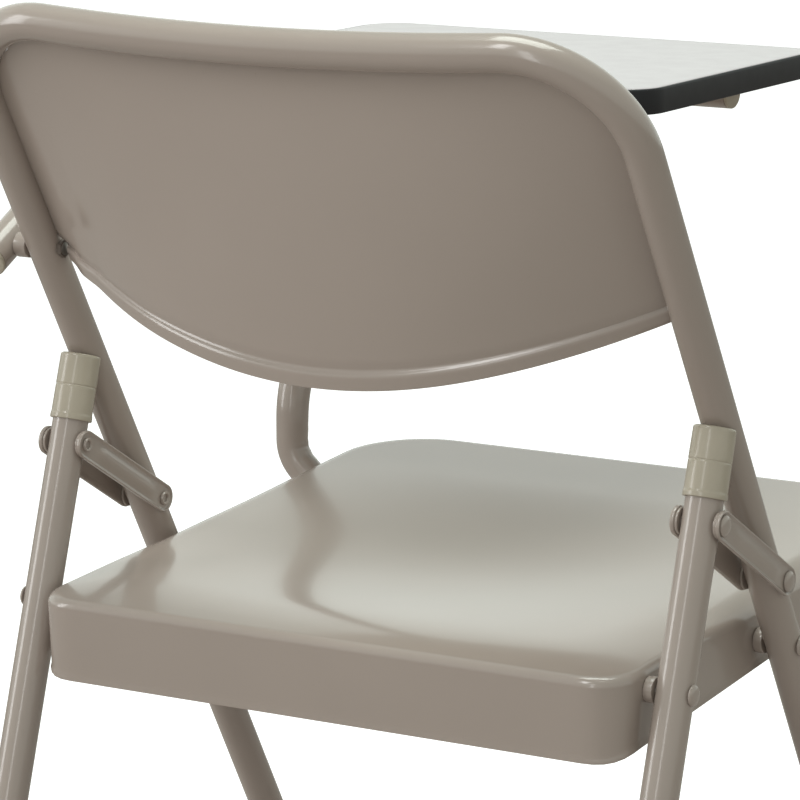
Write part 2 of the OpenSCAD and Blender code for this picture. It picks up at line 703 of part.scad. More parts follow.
// Saddles: sheet brackets welded below the seat that sit on the bar of the arm
saddle_reach = tube_radius + saddle_gap;
saddle_web_base = saddle_reach + saddle_thickness / 2;
saddle_web_top = seat_top - seat_sheet - saddle_thickness / 2;
module saddle() in_seat() translate([0, saddle_bar_y, 0]) {
  translate([0, 0, saddle_bar_z]) rotate([0, 90, 0]) rotate([0, 0, 180 - saddle_span + saddle_tilt])
    rotate_extrude(angle = 2 * saddle_span) translate([saddle_reach, 0])
      square([saddle_thickness, saddle_width]);
  translate([saddle_inset, -saddle_thickness / 2, saddle_bar_z + saddle_web_base])
    cube([saddle_width - 2 * saddle_inset, saddle_thickness, saddle_web_rise]);
  translate([0, -saddle_foot / 2, seat_top - seat_sheet - saddle_thickness])
    cube([saddle_width, saddle_foot, saddle_thickness]);
}
saddle_bar_y = lower_bar_y * cos(seat_rise) + lower_bar_fall * sin(seat_rise);
saddle_bar_z = lower_bar_y * sin(seat_rise) - lower_bar_fall * cos(seat_rise);
saddle_web_rise = saddle_web_top - saddle_bar_z - saddle_web_base;
module bar_saddles() {
  color(metal_colour) in_chair() {
    translate([saddle_outer - saddle_width / 2, 0, 0]) saddle();
    translate([saddle_inner - saddle_width / 2, 0, 0]) saddle();
  }
}

// Arm hardware on the left upright
module at_arm_pivot() in_upright() translate([0, 0, arm_pivot_reach]) at_left() children();
module arm_bolt() {
  color(steel_colour) in_chair() at_arm_pivot() {
    across(-tube_radius - nut_height / 2, bolt_seat + joint_fit, bolt_radius);
    across(bolt_seat, bolt_seat + bolt_head_height, bolt_head_radius);
  }
}
module arm_nut() {
  color(black) in_chair() at_arm_pivot() difference() {
    across(-tube_radius - nut_height, -tube_radius - joint_fit, nut_radius);
    across(-tube_radius - nut_height / 2 - joint_fit, run_over, bolt_radius + joint_fit);
  }
}
module arm_spacer() {
  color(metal_colour) in_chair() at_arm_pivot()
    across(tube_radius + joint_fit, tube_radius + arm_spacer_length - head_gap, bush_radius, bolt_hole);
}

// Arm tube and the tube that carries the tablet
module arm_path(radius, extra = 0) {
  translate([arm_x, arm_pivot_y, arm_pivot_z]) rotate([90 - arm_slope, 0, 0])
    translate([0, 0, -arm_tail - extra]) run(arm_tail + arm_slope_length + extra, radius, 0, bend_lap)
    turn(arm_bend, arm_slope, -90, radius) run(arm_level_length + extra, radius, bend_lap);
}
module support_path(radius, extra = 0) {
  translate([-support_end - extra, support_y, support_z]) rotate([0, 90, 0])
    run(support_run + extra, radius, 0, bend_lap) turn(strut_top_bend, 90, strut_lean, radius)
    run(strut_run, radius, bend_lap, bend_lap) turn(strut_knee_bend, strut_lean, -90, radius)
    run(kink_drop, radius, bend_lap, bend_lap) turn(kink_bend, kink_angle, 90, radius)
    run(kink_run, radius, bend_lap, bend_lap) turn(lower_bend, 90 - kink_angle, 0, radius)
    run(lower_run + extra, radius, bend_lap);
}
module at_screws() {
  translate([arm_x, support_y + screw_front, 0]) children();
  translate([arm_x, support_y + screw_rear, 0]) children();
  translate([arm_x - screw_side - screw_span, support_y, 0]) children();
  translate([arm_x - screw_side, support_y, 0]) children();
}
module arm_tube() {
  color(metal_colour) in_chair() difference() {
    arm_path(tube_radius);
    arm_path(bore_radius, run_over);
    support_path(tube_radius);
    at_arm_pivot() across(-tube_diameter, far, bolt_hole);
    at_screws() translate([0, 0, support_z - tube_diameter]) cylinder(h = 2 * tube_diameter, r = screw_hole);
  }
}
module tablet_support_tube() {
  color(metal_colour) in_chair() difference() {
    support_path(tube_radius);
    support_path(bore_radius, run_over);
    at_screws() translate([0, 0, support_z - tube_diameter]) cylinder(h = 2 * tube_diameter, r = screw_hole);
  }
}
module end_cap() {
  cylinder(h = arm_cap_disc, r = tube_radius);
  translate([0, 0, -arm_cap_length]) cylinder(h = arm_cap_length + joint_fit, r = bore_radius - joint_fit);
}
module arm_tube_caps() {
  color(cap_colour) in_chair() {
    translate([arm_x, arm_pivot_y, arm_pivot_z]) rotate([90 - arm_slope, 0, 0]) translate([0, 0, -arm_tail])
      mirror([0, 0, 1]) end_cap();
    translate([-support_end, support_y, support_z]) rotate([0, -90, 0]) end_cap();
    translate([lower_bar_end, lower_bar_y, lower_bar_height]) rotate([0, -90, 0]) end_cap();
  }
}

// Tablet
module tablet_outline(inset) {
  radius = tablet_corner - inset;
  left = -tablet_inner + inset;
  right = tablet_outer - inset;
  front = -tablet_rear - tablet_depth + inset;
  back = -tablet_rear - inset;
  translate([left + radius, front]) square([right - left - 2 * radius, back - front]);
  translate([left, front + radius]) square([right - left, back - front - 2 * radius]);
  for (x = [left + radius, right - radius]) for (y = [front + radius, back - radius])
    translate([x, y]) circle(r = radius);
}
module tablet_board() {
  color([0.45, 0.3, 0.2]) in_chair() difference() {
    translate([0, 0, tablet_base]) linear_extrude(height = tablet_thickness - laminate)
      tablet_outline(edge_width);
    at_screws() translate([0, 0, tablet_base - screw_bite])
      cylinder(h = 2 * screw_bite + joint_fit, r = screw_hole);
  }
}
module tablet_laminate() {
  color([0.87, 0.87, 0.86]) in_chair() translate([0, 0, tablet_height - laminate])
    linear_extrude(height = laminate) tablet_outline(edge_width);
}
module tablet_edge() {
  color(black) in_chair() translate([0, 0, tablet_base]) linear_extrude(height = tablet_thickness)
    difference() {
      tablet_outline(0);
      tablet_outline(edge_width);
    }
}
module tablet_screws() {
  color(steel_colour) in_chair() at_screws() {
    translate([0, 0, support_z - tube_radius - screw_head_height - joint_fit])
      cylinder(h = screw_head_height, r = screw_head_radius);
    translate([0, 0, support_z - tube_radius - 2 * joint_fit])
      cylinder(h = tube_diameter + screw_bite, r = screw_radius);
  }
}

front_frame();
front_crossbar();
front_foot_left();
front_foot_right();
back_panel();
front_hinge_rivets();
front_hinge_bushes();
link_hinge_rivets();
link_plate_left_outer();
link_plate_left_inner();
link_plate_right_outer();
link_plate_right_inner();
link_washers_left();
link_washers_right();
rear_leg_left();
rear_leg_right();
rear_crossbar();
rear_foot_left();
rear_foot_right();
leg_cap_left();
leg_cap_right();
cap_hinge_rivets();
rear_hinge_rivet_heads();
seat_pan();
rear_hinge_studs();
rear_hinge_bushes();
bar_saddles();
arm_bolt();
arm_nut();
arm_spacer();
arm_tube();
tablet_support_tube();
arm_tube_caps();
tablet_board();
tablet_laminate();
tablet_edge();
tablet_screws();
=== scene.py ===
import math

import bmesh
import bpy
import numpy as np
from bpy.props import FloatProperty, FloatVectorProperty, PointerProperty
from bpy.types import Operator, Panel, PropertyGroup
from mathutils import Matrix, Vector


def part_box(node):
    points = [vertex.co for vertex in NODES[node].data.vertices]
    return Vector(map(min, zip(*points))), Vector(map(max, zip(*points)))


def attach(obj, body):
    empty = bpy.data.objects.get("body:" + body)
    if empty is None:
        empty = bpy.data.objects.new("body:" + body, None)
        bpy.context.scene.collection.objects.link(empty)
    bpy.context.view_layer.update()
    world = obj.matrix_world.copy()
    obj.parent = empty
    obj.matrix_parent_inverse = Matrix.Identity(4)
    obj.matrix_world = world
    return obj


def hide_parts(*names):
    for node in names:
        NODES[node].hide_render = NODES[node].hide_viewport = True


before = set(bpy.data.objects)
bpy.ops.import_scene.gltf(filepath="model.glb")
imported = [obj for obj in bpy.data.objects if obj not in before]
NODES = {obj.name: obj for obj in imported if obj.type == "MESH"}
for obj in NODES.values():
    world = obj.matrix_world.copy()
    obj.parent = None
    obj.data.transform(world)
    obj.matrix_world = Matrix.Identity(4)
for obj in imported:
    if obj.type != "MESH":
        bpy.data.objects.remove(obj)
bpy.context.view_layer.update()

bl_info = {
    "name": "Folding tablet arm chair",
    "version": (1, 0, 0),
    "blender": (4, 5, 0),
    "location": "View3D > Sidebar > Chair",
    "description": "Dresses the folding tablet arm chair with formed surfaces and finishes",
    "category": "Object",
}


# Lengths that several pieces share, in metres

FOOT_SOLE = 0.0035  # rubber below a leg's end
ARM_PIVOT_REACH = 0.2535  # from the seat hinge to the arm pivot along the upright
LINK_SEAT = 0.01305  # inner face of a link plate from the tube's centre line
WASHER_SEAT = 0.01125  # inner face of a link washer from the tube's centre line


# Sizes and finishes a user would change

def length(title, about, value, low, high):
    """A size in metres, shown with its unit."""
    return FloatProperty(name=title, description=about, default=value, min=low, max=high,
                         subtype="DISTANCE", unit="LENGTH", precision=4)


def angle(title, about, degrees, low, high):
    """An angle with its limits in radians."""
    return FloatProperty(name=title, description=about, default=math.radians(degrees), min=low, max=high,
                         subtype="ANGLE")


def colour(title, about, value):
    """A linear colour with a colour swatch."""
    return FloatVectorProperty(name=title, description=about, default=value, min=0.0, max=1.0,
                               size=3, subtype="COLOR")


class ChairFrameSizes(PropertyGroup):
    tube: length("Tube radius", "Outside radius of the frame tubes", 0.0111, 0.008, 0.015)
    half_spacing: length("Half spacing", "Half the distance between the side tubes", 0.219, 0.2, 0.25)
    hinge_height: length("Hinge height", "Height of the front seat hinge", 0.395, 0.35, 0.45)
    setback: length("Hinge setback", "Front seat hinge behind the origin", 0.036237, 0.0, 0.06)
    middle: length("Middle", "Middle of the frame, sideways from the origin", -0.016775, -0.05, 0.05)
    lean: angle("Lean", "Lean of the uprights from vertical", 30.2, 0.3, 0.7)
    top_reach: length("Top reach", "Seat hinge to top tube along the upright", 0.431, 0.4, 0.46)
    corner: length("Corner radius", "Radius of the top corners", 0.070, 0.05, 0.1)
    corner_turn: angle("Corner turn", "Turn of the top corners to the rear", 6.3, 0.0, 0.3)


class ChairLinkSizes(PropertyGroup):
    reach: length("Link hinge reach", "Seat hinge to link hinge along the upright", 0.0518, 0.04, 0.07)
    length: length("Link length", "Hole to hole length of a link", 0.09715, 0.08, 0.12)
    angle: angle("Link angle", "Angle between upright and link", 29.05, 0.3, 0.8)
    width: length("Link width", "Width of a link plate", 0.0175, 0.012, 0.025)
    rear_reach: length("Rear hinge reach", "Front to rear seat hinge", 0.1388, 0.12, 0.16)
    rear_angle: angle("Rear hinge angle", "Upright to the line of the seat hinges", 58.97, 0.8, 1.3)


class ChairSeatSizes(PropertyGroup):
    front: length("Front", "Seat hinge to front edge", 0.246, 0.2, 0.3)
    rear: length("Rear", "Seat hinge to rear edge", 0.1728, 0.12, 0.2)
    top: length("Top", "Seat surface above the seat hinge", 0.0275, 0.01, 0.04)
    half_width: length("Half width", "Half the seat width", 0.2018, 0.18, 0.22)
    dish: length("Dish", "Depth of the hollow in the seat", 0.012, 0.0, 0.02)
    roll: length("Rolled edge", "Radius of the rolled edge", 0.016, 0.004, 0.02)
    corner: length("Rear corner", "Radius of the rear corners", 0.025, 0.015, 0.04)
    skirt_rear: length("Rear skirt", "Depth of the sides' skirt at the rear", 0.0496, 0.03, 0.07)
    skirt_front: length("Front skirt", "Depth of the skirt at the front", 0.0372, 0.02, 0.06)
    skirt_tail: length("Skirt tail", "Extra depth of the skirt across the rear edge", 0.0048, 0.0, 0.01)


class ChairBackSizes(PropertyGroup):
    bottom: length("Bottom", "Seat hinge to the panel's lower edge", 0.237, 0.2, 0.27)
    bow_top: length("Upper bow", "Rearward bow at the top", 0.016, 0.0, 0.03)
    bow_bottom: length("Lower bow", "Rearward bow at the bottom", 0.080, 0.03, 0.1)
    lip: length("Lip", "Height of the folded lower lip", 0.0105, 0.005, 0.02)


class ChairTabletSizes(PropertyGroup):
    height: length("Height", "Top of the tablet above the floor", 0.703, 0.65, 0.75)
    thickness: length("Thickness", "Thickness of the tablet", 0.0163, 0.012, 0.025)
    corner: length("Corner", "Corner radius", 0.028, 0.01, 0.05)


class ChairFinishes(PropertyGroup):
    paint: colour("Enamel", "Warm grey-beige enamel", (0.345, 0.287, 0.254))
    cap: colour("Cap plastic", "Yellowish beige plastic", (0.40, 0.35, 0.280))
    laminate: colour("Laminate", "Pale grey-white laminate", (0.54, 0.498, 0.518))
    edging: colour("Edge moulding", "Black edge moulding", (0.008, 0.008, 0.010))
    board: colour("Board", "Brown board core", (0.30, 0.17, 0.075))
    steel: colour("Steel", "Dull plated steel", (0.42, 0.41, 0.39))
    rubber: colour("Rubber", "Dark rubber of the feet", (0.035, 0.034, 0.033))
    nut: colour("Nut", "Brown of the nut at the arm pivot", (0.12, 0.095, 0.08))


# Frames of reference: points are given as (sideways, rearward from the upright, along the upright)

def chair():
    """The scene's own sizes."""
    s = bpy.context.scene
    return s.chair_frame, s.chair_links


def from_upright(p):
    """Carries points (x, n, t) of the upright's frame to the chair's frame: the frame's origin is the
    front seat hinge, t climbs along the tube and n points rearward, square to it."""
    f, _ = chair()
    p = np.asarray(p, float)
    s, c = math.sin(f.lean), math.cos(f.lean)
    return np.stack([p[..., 0], f.setback + p[..., 2] * s + p[..., 1] * c,
                     f.hinge_height + p[..., 2] * c - p[..., 1] * s], -1)


def hinges():
    """(n, t) of the link hinge, the cap hinge and the rear seat hinge in the upright's frame."""
    _, k = chair()
    link = np.array([0.0, k.reach])
    cap = link + k.length * np.array([math.sin(k.angle), math.cos(k.angle)])
    rear = k.rear_reach * np.array([math.sin(k.rear_angle), math.cos(k.rear_angle)])
    return link, cap, rear


def leg_frame():
    """Origin at the cap hinge, unit vectors up the leg and rearward across it, in (x, n, t)."""
    _, cap, rear = hinges()
    up = (cap - rear) / np.linalg.norm(cap - rear)
    back = np.array([up[1], -up[0]])
    return np.array([0, *cap]), np.array([0, *up]), np.array([0, *back])


def from_leg(p):
    """Points (x, across rearward, along the leg from the cap hinge) to (x, n, t)."""
    o, up, back = leg_frame()
    p = np.asarray(p, float)
    return o + p[..., 0:1] * [1, 0, 0] + p[..., 1:2] * back + p[..., 2:3] * up


def front_leg_end():
    """Where the front leg ends along the upright, measured from the seat hinge."""
    f, _ = chair()
    return -(f.hinge_height - FOOT_SOLE - f.tube * math.sin(f.lean)) / math.cos(f.lean)


def rear_leg_drop():
    """Length of the rear leg below the cap hinge."""
    f, _ = chair()
    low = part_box("rear_leg_left")[0].z
    axis = from_upright(from_leg([[f.half_spacing, 0, 0], [f.half_spacing, 0, 1.0]]))
    run, climb = abs(axis[1, 1] - axis[0, 1]), axis[1, 2] - axis[0, 2]
    return (axis[0, 2] - low - f.tube * run) / climb


def smooth(v):
    """0 below 0, 1 above 1 and a smooth cubic between."""
    u = np.clip(v, 0, 1)
    return u * u * (3 - 2 * u)


# Meshes

def grid_faces(rows, columns, around=True):
    """Quads of a grid of points, closed across the columns where around is set."""
    i = np.arange(rows - 1)[:, None]
    j = np.arange(columns if around else columns - 1)[None, :]
    k = (j + 1) % columns
    quads = [i * columns + j, i * columns + k, (i + 1) * columns + k, (i + 1) * columns + j]
    return np.stack(quads, -1).reshape(-1, 4)


def looped_faces(rows, columns, around=True):
    """The same, with the last row joined to the first."""
    return (grid_faces(rows + 1, columns, around) % (rows * columns)).tolist()


def tube_shell(points):
    """A closed shell from rings of points: the two end rings are closed by fans to their centres."""
    rows, columns, _ = points.shape
    verts = np.concatenate([points.reshape(-1, 3), points[0].mean(0)[None], points[-1].mean(0)[None]])
    j = np.arange(columns)
    k = (j + 1) % columns
    last, centres = (rows - 1) * columns, np.full(columns, rows * columns)
    fans = np.stack([k, j, centres], -1).tolist() + np.stack([last + j, last + k, centres + 1], -1).tolist()
    return verts, grid_faces(rows, columns).tolist() + fans


def turned_out(verts, faces):
    """The faces, turned round if the shell's signed volume shows that they point inwards."""
    tri = np.array([[f[0], f[i], f[i + 1]] for f in faces for i in range(1, len(f) - 1)])
    a, b, c = (verts[tri[:, n]] for n in range(3))
    inwards = np.einsum("ij,ij->i", a, np.cross(b, c)).sum() < 0
    return [f[::-1] for f in faces] if inwards else faces


def show(name, data):
    """An object of the scene with this data."""
    obj = bpy.data.objects.new(name, data)
    bpy.context.scene.collection.objects.link(obj)
    return obj


def make(name, shells, body, node, key, crease=40.0):
    """One piece from closed shells, smooth but for edges sharper than crease degrees, with the finish named
    by key. Shells are made about the middle of the frame and moved sideways to the chair's place here."""
    verts, faces, count = [], [], 0
    for v, f in shells:
        verts.append(v)
        faces += [[n + count for n in q] for q in turned_out(v, f)]
        count += len(v)
    mesh = bpy.data.meshes.new(name)
    verts = np.concatenate(verts) + [bpy.context.scene.chair_frame.middle, 0, 0]
    mesh.from_pydata(verts.tolist(), [], faces)
    bm = bmesh.new()
    bm.from_mesh(mesh)
    bmesh.ops.remove_doubles(bm, verts=bm.verts, dist=2e-7)
    bm.to_mesh(mesh)
    bm.free()
    mesh.shade_smooth()
    mesh.set_sharp_from_angle(angle=math.radians(crease))
    mesh.materials.append(finish(key))
    obj = show(name, mesh)
    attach(obj, body)
    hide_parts(node)


def make_pair(name, shell, body, node, key, crease=40.0):
    """A piece on the left of the chair and its mirror image on the right."""
    verts, faces = shell
    for side, way in (("left", 1), ("right", -1)):
        make(f"{name}_{side}", [(verts * [way, 1, 1], faces)], body, f"{node}_{side}", key, crease)


# Curves and surfaces

def trace(start, heading, moves, step=0.004):
    """Points along straight runs and circular bends. A run is (length,), a bend is (radius, angle,
    inside) with inside the unit vector towards its centre: p + r (sin a . heading + (1 - cos a) . inside)."""
    p, t = np.array(start, float), np.array(heading, float)
    t /= np.linalg.norm(t)
    out = [p[None]]
    for m in moves:
        if len(m) == 1:
            s = np.linspace(0, m[0], max(2, int(m[0] / step) + 1))[1:, None]
            seg = p + s * t
        else:
            r, angle, inside = m
            c = np.array(inside, float)
            c -= c.dot(t) * t
            c /= np.linalg.norm(c)
            a = np.linspace(0, angle, max(6, int(r * angle / step * 1.6) + 1))[1:, None]
            seg = p + r * (np.sin(a) * t + (1 - np.cos(a)) * c)
            t = t * math.cos(angle) + c * math.sin(angle)
        p = seg[-1]
        out.append(seg)
    return np.concatenate(out)


def sweep(path, radius, ref, around=56, shape=None):
    """Rings carried along a path: p + r(i, a) (cos a . e1 + sin a . e2), with e1 the part of ref that is
    square to the path. shape(distance, angle, point) multiplies the radius."""
    t = np.gradient(path, axis=0)
    t /= np.linalg.norm(t, axis=1, keepdims=True)
    ref = np.asarray(ref, float)
    e1 = ref - (t @ ref)[:, None] * t
    e1 /= np.linalg.norm(e1, axis=1, keepdims=True)
    e2 = np.cross(t, e1)
    a = np.linspace(0, 2 * math.pi, around, endpoint=False)
    d = np.concatenate([[0], np.cumsum(np.linalg.norm(np.diff(path, axis=0), axis=1))])
    r = np.full((len(path), around), radius)
    if shape is not None:
        r = r * shape(d[:, None], a[None, :], path)
    ring = np.cos(a)[None, :, None] * e1[:, None] + np.sin(a)[None, :, None] * e2[:, None]
    return path[:, None] + r[..., None] * ring


def turned(profile, centre, axis, around=40):
    """A profile of (distance along the axis, radius) turned about an axis through centre."""
    axis = np.asarray(axis, float)
    axis /= np.linalg.norm(axis)
    ref = np.array([0, 0, 1.0]) if abs(axis[2]) < 0.9 else np.array([1.0, 0, 0])
    e1 = np.cross(axis, ref)
    e1 /= np.linalg.norm(e1)
    e2 = np.cross(axis, e1)
    a = np.linspace(0, 2 * math.pi, around, endpoint=False)
    p = np.asarray(profile, float)
    ring = np.cos(a)[:, None] * e1 + np.sin(a)[:, None] * e2
    return np.asarray(centre, float) + p[:, 0, None, None] * axis + p[:, 1, None, None] * ring[None]


def filleted(profile, radius, steps=5):
    """Rounds the inner corners of a profile of straight lines with arcs of the given radius."""
    p = np.asarray(profile, float)
    out = [p[0]]
    for a, b, c in zip(p[:-2], p[1:-1], p[2:]):
        u, v = a - b, c - b
        lu, lv = np.linalg.norm(u), np.linalg.norm(v)
        r = min(radius, lu * 0.45, lv * 0.45)
        s = np.linspace(0, 1, steps)[:, None]
        out.extend((1 - s) ** 2 * (b + u / lu * r) + 2 * s * (1 - s) * b + s ** 2 * (b + v / lv * r))
    out.append(p[-1])
    return np.array(out)


def resampled(profile, step):
    """The profile with points added about step apart."""
    fine = [profile[0]]
    for a, b in zip(profile[:-1], profile[1:]):
        n = max(1, int(np.linalg.norm(b - a) / step))
        fine.extend(a + (b - a) * np.linspace(0, 1, n + 1)[1:, None])
    return fine


# Materials

class Graph:
    """Adds and links the nodes of one tree."""

    def __init__(self, tree):
        self.tree = tree

    def add(self, kind, **values):
        node = self.tree.nodes.new(kind)
        for key, value in values.items():
            if hasattr(node, key):
                setattr(node, key, value)
            else:
                node.inputs[key].default_value = value
        return node

    def feed(self, socket, value):
        """Links an output to the socket, or sets the socket to a plain value."""
        if isinstance(value, bpy.types.NodeSocket):
            self.tree.links.new(value, socket)
        else:
            socket.default_value = value

    def ramp(self, source, low, high, start=0.0, end=1.0):
        r = self.add("ShaderNodeMapRange")
        for key, value in (("From Min", low), ("From Max", high), ("To Min", start), ("To Max", end),
                           ("Value", source)):
            self.feed(r.inputs[key], value)
        return r.outputs["Result"]

    def blend(self, factor, a, b):
        m = self.add("ShaderNodeMix", data_type="RGBA")
        self.feed(m.inputs["Factor"], factor)
        for value, socket in ((a, m.inputs[6]), (b, m.inputs[7])):
            self.feed(socket, value if isinstance(value, bpy.types.NodeSocket) else (*value, 1.0))
        return m.outputs[2]


class Recipe(Graph):
    """One material around a Principled shader, in the object's own coordinates."""

    def __init__(self, name):
        self.mat = bpy.data.materials.new(name)
        self.mat.use_nodes = True
        super().__init__(self.mat.node_tree)
        self.shader = self.tree.nodes["Principled BSDF"]
        self.coords = self.add("ShaderNodeTexCoord").outputs["Object"]

    def put(self, name, value):
        """Feeds one input of the shader."""
        self.feed(self.shader.inputs[name], value)

    def noise(self, scale, detail=3.0, rough=0.5, stretch=None):
        n = self.add("ShaderNodeTexNoise", Scale=scale, Detail=detail, Roughness=rough)
        where = self.coords
        if stretch is not None:
            m = self.add("ShaderNodeMapping", Scale=stretch)
            self.feed(m.inputs["Vector"], where)
            where = m.outputs["Vector"]
        self.feed(n.inputs["Vector"], where)
        return n.outputs["Fac"]

    def relief(self, height, strength, distance):
        """A bump on the surface."""
        b = self.add("ShaderNodeBump", Strength=strength, Distance=distance)
        self.feed(b.inputs["Height"], height)
        self.put("Normal", b.outputs["Normal"])


def scaled(c, k):
    return tuple(min(1.0, v * k) for v in c)


def enamel(name, base, gloss):
    """Sprayed enamel: fine orange peel, a faint mottle of tone and a few specks of dust."""
    m = Recipe(name)
    tone = m.ramp(m.noise(7.0, 2.0), 0.35, 0.65)
    cast = m.blend(tone, scaled(base, 0.98), scaled(base, 1.02))
    speck = m.ramp(m.noise(900.0, 1.0), 0.76, 0.80, 0.0, 0.4)
    m.put("Base Color", m.blend(speck, cast, scaled(base, 0.75)))
    m.put("Roughness", m.ramp(m.noise(30.0, 3.0), 0.3, 0.7, gloss, gloss + 0.03))
    m.relief(m.noise(520.0, 2.0), 0.07, 0.0002)
    m.put("IOR", 1.5)
    m.put("Coat Weight", 0.45)
    m.put("Coat Roughness", 0.09)
    return m.mat


def moulded(name, base, rough, coat=0.0):
    """Moulded plastic: cloudy tone, a fine grain and a soft sheen."""
    m = Recipe(name)
    cloud = m.ramp(m.noise(70.0, 4.0), 0.3, 0.7)
    m.put("Base Color", m.blend(cloud, scaled(base, 0.97), scaled(base, 1.03)))
    m.put("Roughness", m.ramp(m.noise(90.0, 2.0), 0.3, 0.7, rough - 0.02, rough + 0.02))
    m.relief(m.noise(700.0, 1.0), 0.02, 0.0001)
    m.put("Coat Weight", coat)
    m.put("Coat Roughness", 0.12)
    m.put("IOR", 1.42)
    return m.mat


def laminate(name, base):
    """Decorative laminate: fine pale speckle under a satin skin."""
    m = Recipe(name)
    fine = m.ramp(m.noise(1400.0, 2.0), 0.42, 0.62)
    cast = m.blend(fine, scaled(base, 0.975), scaled(base, 1.01))
    patches = m.ramp(m.noise(14.0, 3.0), 0.35, 0.65, 0.0, 0.5)
    m.put("Base Color", m.blend(patches, cast, scaled(base, 0.985)))
    m.put("Roughness", m.ramp(m.noise(60.0, 4.0), 0.3, 0.7, 0.30, 0.40))
    m.relief(m.noise(2200.0, 2.0), 0.12, 0.0001)
    return m.mat


def particle_board(name, base):
    """Pressed board edge: short chips in two browns, matt."""
    m = Recipe(name)
    chips = m.ramp(m.noise(420.0, 5.0, 0.7, (1.0, 1.0, 3.0)), 0.38, 0.62)
    m.put("Base Color", m.blend(chips, scaled(base, 0.6), scaled(base, 1.35)))
    m.put("Roughness", 0.8)
    m.relief(chips, 0.4, 0.0004)
    return m.mat


def plated(name, base):
    """Dull plated steel with fine turning marks and darker spots."""
    m = Recipe(name)
    spots = m.ramp(m.noise(320.0, 4.0), 0.5, 0.75)
    m.put("Base Color", m.blend(spots, base, scaled(base, 0.7)))
    m.put("Metallic", 1.0)
    m.put("Roughness", m.ramp(spots, 0.0, 1.0, 0.32, 0.5))
    m.relief(m.noise(900.0, 2.0, 0.5, (1.0, 6.0, 6.0)), 0.15, 0.0002)
    return m.mat


def rubber(name, base):
    """Moulded rubber: matt, dusty in patches."""
    m = Recipe(name)
    dust = m.ramp(m.noise(60.0, 5.0, 0.65), 0.5, 0.8, 0.0, 0.6)
    m.put("Base Color", m.blend(dust, base, (0.16, 0.155, 0.15)))
    m.put("Roughness", m.ramp(dust, 0.0, 0.6, 0.62, 0.85))
    m.relief(m.noise(700.0, 3.0), 0.3, 0.0003)
    return m.mat


def finish(key):
    """The finish named by key, made once."""
    if key in bpy.data.materials:
        return bpy.data.materials[key]
    c = bpy.context.scene.chair_finishes
    recipe, base, *values = {
        "frame_enamel": (enamel, c.paint, 0.20),
        "sheet_enamel": (enamel, c.paint, 0.19),
        "cap_plastic_finish": (moulded, c.cap, 0.24, 0.3),
        "laminate_finish": (laminate, c.laminate),
        "board_finish": (particle_board, c.board),
        "edging_finish": (moulded, c.edging, 0.5),
        "steel_finish": (plated, c.steel),
        "rubber_finish": (rubber, c.rubber),
        "nut_finish": (moulded, c.nut, 0.45),
    }[key]
    return recipe(key, tuple(base), *values)


def dress(node, key):
    """Gives a CAD node that is shown as it is a finish."""
    materials = NODES[node].data.materials
    materials.clear()
    materials.append(finish(key))


# Pieces

class CHAIR_OT_frame_tube(Operator):
    """Main frame tube: legs, uprights, corners and the bowed top tube in one bent length"""
    bl_idname = "chair.frame_tube"
    bl_label = "Frame tube"

    def execute(self, context):
        f, _ = chair()
        g = f.corner_turn
        arc = (f.half_spacing - f.corner * math.cos(g)) / math.sin(g)
        low = front_leg_end()
        rise = f.top_reach - f.corner - low
        path = trace((f.half_spacing, 0, low), (0, 0, 1), [
            (rise,), (f.corner, math.pi / 2, (-math.cos(g), math.sin(g), 0)),
            (arc, 2 * g, (-math.sin(g), -math.cos(g), 0)),
            (f.corner, math.pi / 2, (0, 0, -1)), (rise,)], 0.006)

        def drawn(d, a, p):
            """The bends are pressed slightly flat across the bend."""
            bend = smooth((p[:, 2] - f.top_reach + f.corner + 0.01) / 0.03)
            bend = bend * smooth((np.abs(p[:, 0]) - 0.13) / 0.02)
            return 1 - 0.012 * bend[:, None] * np.sin(a) ** 2

        rings = sweep(path, f.tube, (0, 1, 0), 64, drawn)
        make("frame_tube", [tube_shell(from_upright(rings))], "front_frame", "front_frame", "frame_enamel")
        return {"FINISHED"}


class CHAIR_OT_rear_legs(Operator):
    """Rear leg tubes with their crossbar, and the front crossbar"""
    bl_idname = "chair.rear_legs"
    bl_label = "Rear legs and crossbars"

    def execute(self, context):
        f, _ = chair()
        leg_top, cap_clearance = 0.0515, 0.0136
        along = np.linspace(-rear_leg_drop(), leg_top, 150)
        path = np.stack([np.full(150, f.half_spacing), np.zeros(150), along], -1)
        rings = from_leg(sweep(path, f.tube, (0, 1, 0), 64))
        rings[..., 1] = np.maximum(rings[..., 1], cap_clearance)
        make_pair("rear_leg_tube", tube_shell(from_upright(rings)), "rear_legs", "rear_leg", "frame_enamel")
        for node, body in (("front_crossbar", "front_frame"), ("rear_crossbar", "rear_legs")):
            lo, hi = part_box(node)
            reach = f.half_spacing - f.tube * 0.93
            x = np.linspace(-reach, reach, 60)
            p = np.stack([x, np.full(60, (lo.y + hi.y) / 2), np.full(60, (lo.z + hi.z) / 2)], -1)
            r = (hi.z - lo.z) / 2
            bead = 1 + 0.12 * np.exp(-((reach - np.abs(x)) / 0.0025) ** 2)
            rings = sweep(p, r, (0, 0, 1), 48, lambda d, a, q: bead[:, None])
            make(node + "_tube", [tube_shell(rings)], body, node, "frame_enamel")
        return {"FINISHED"}


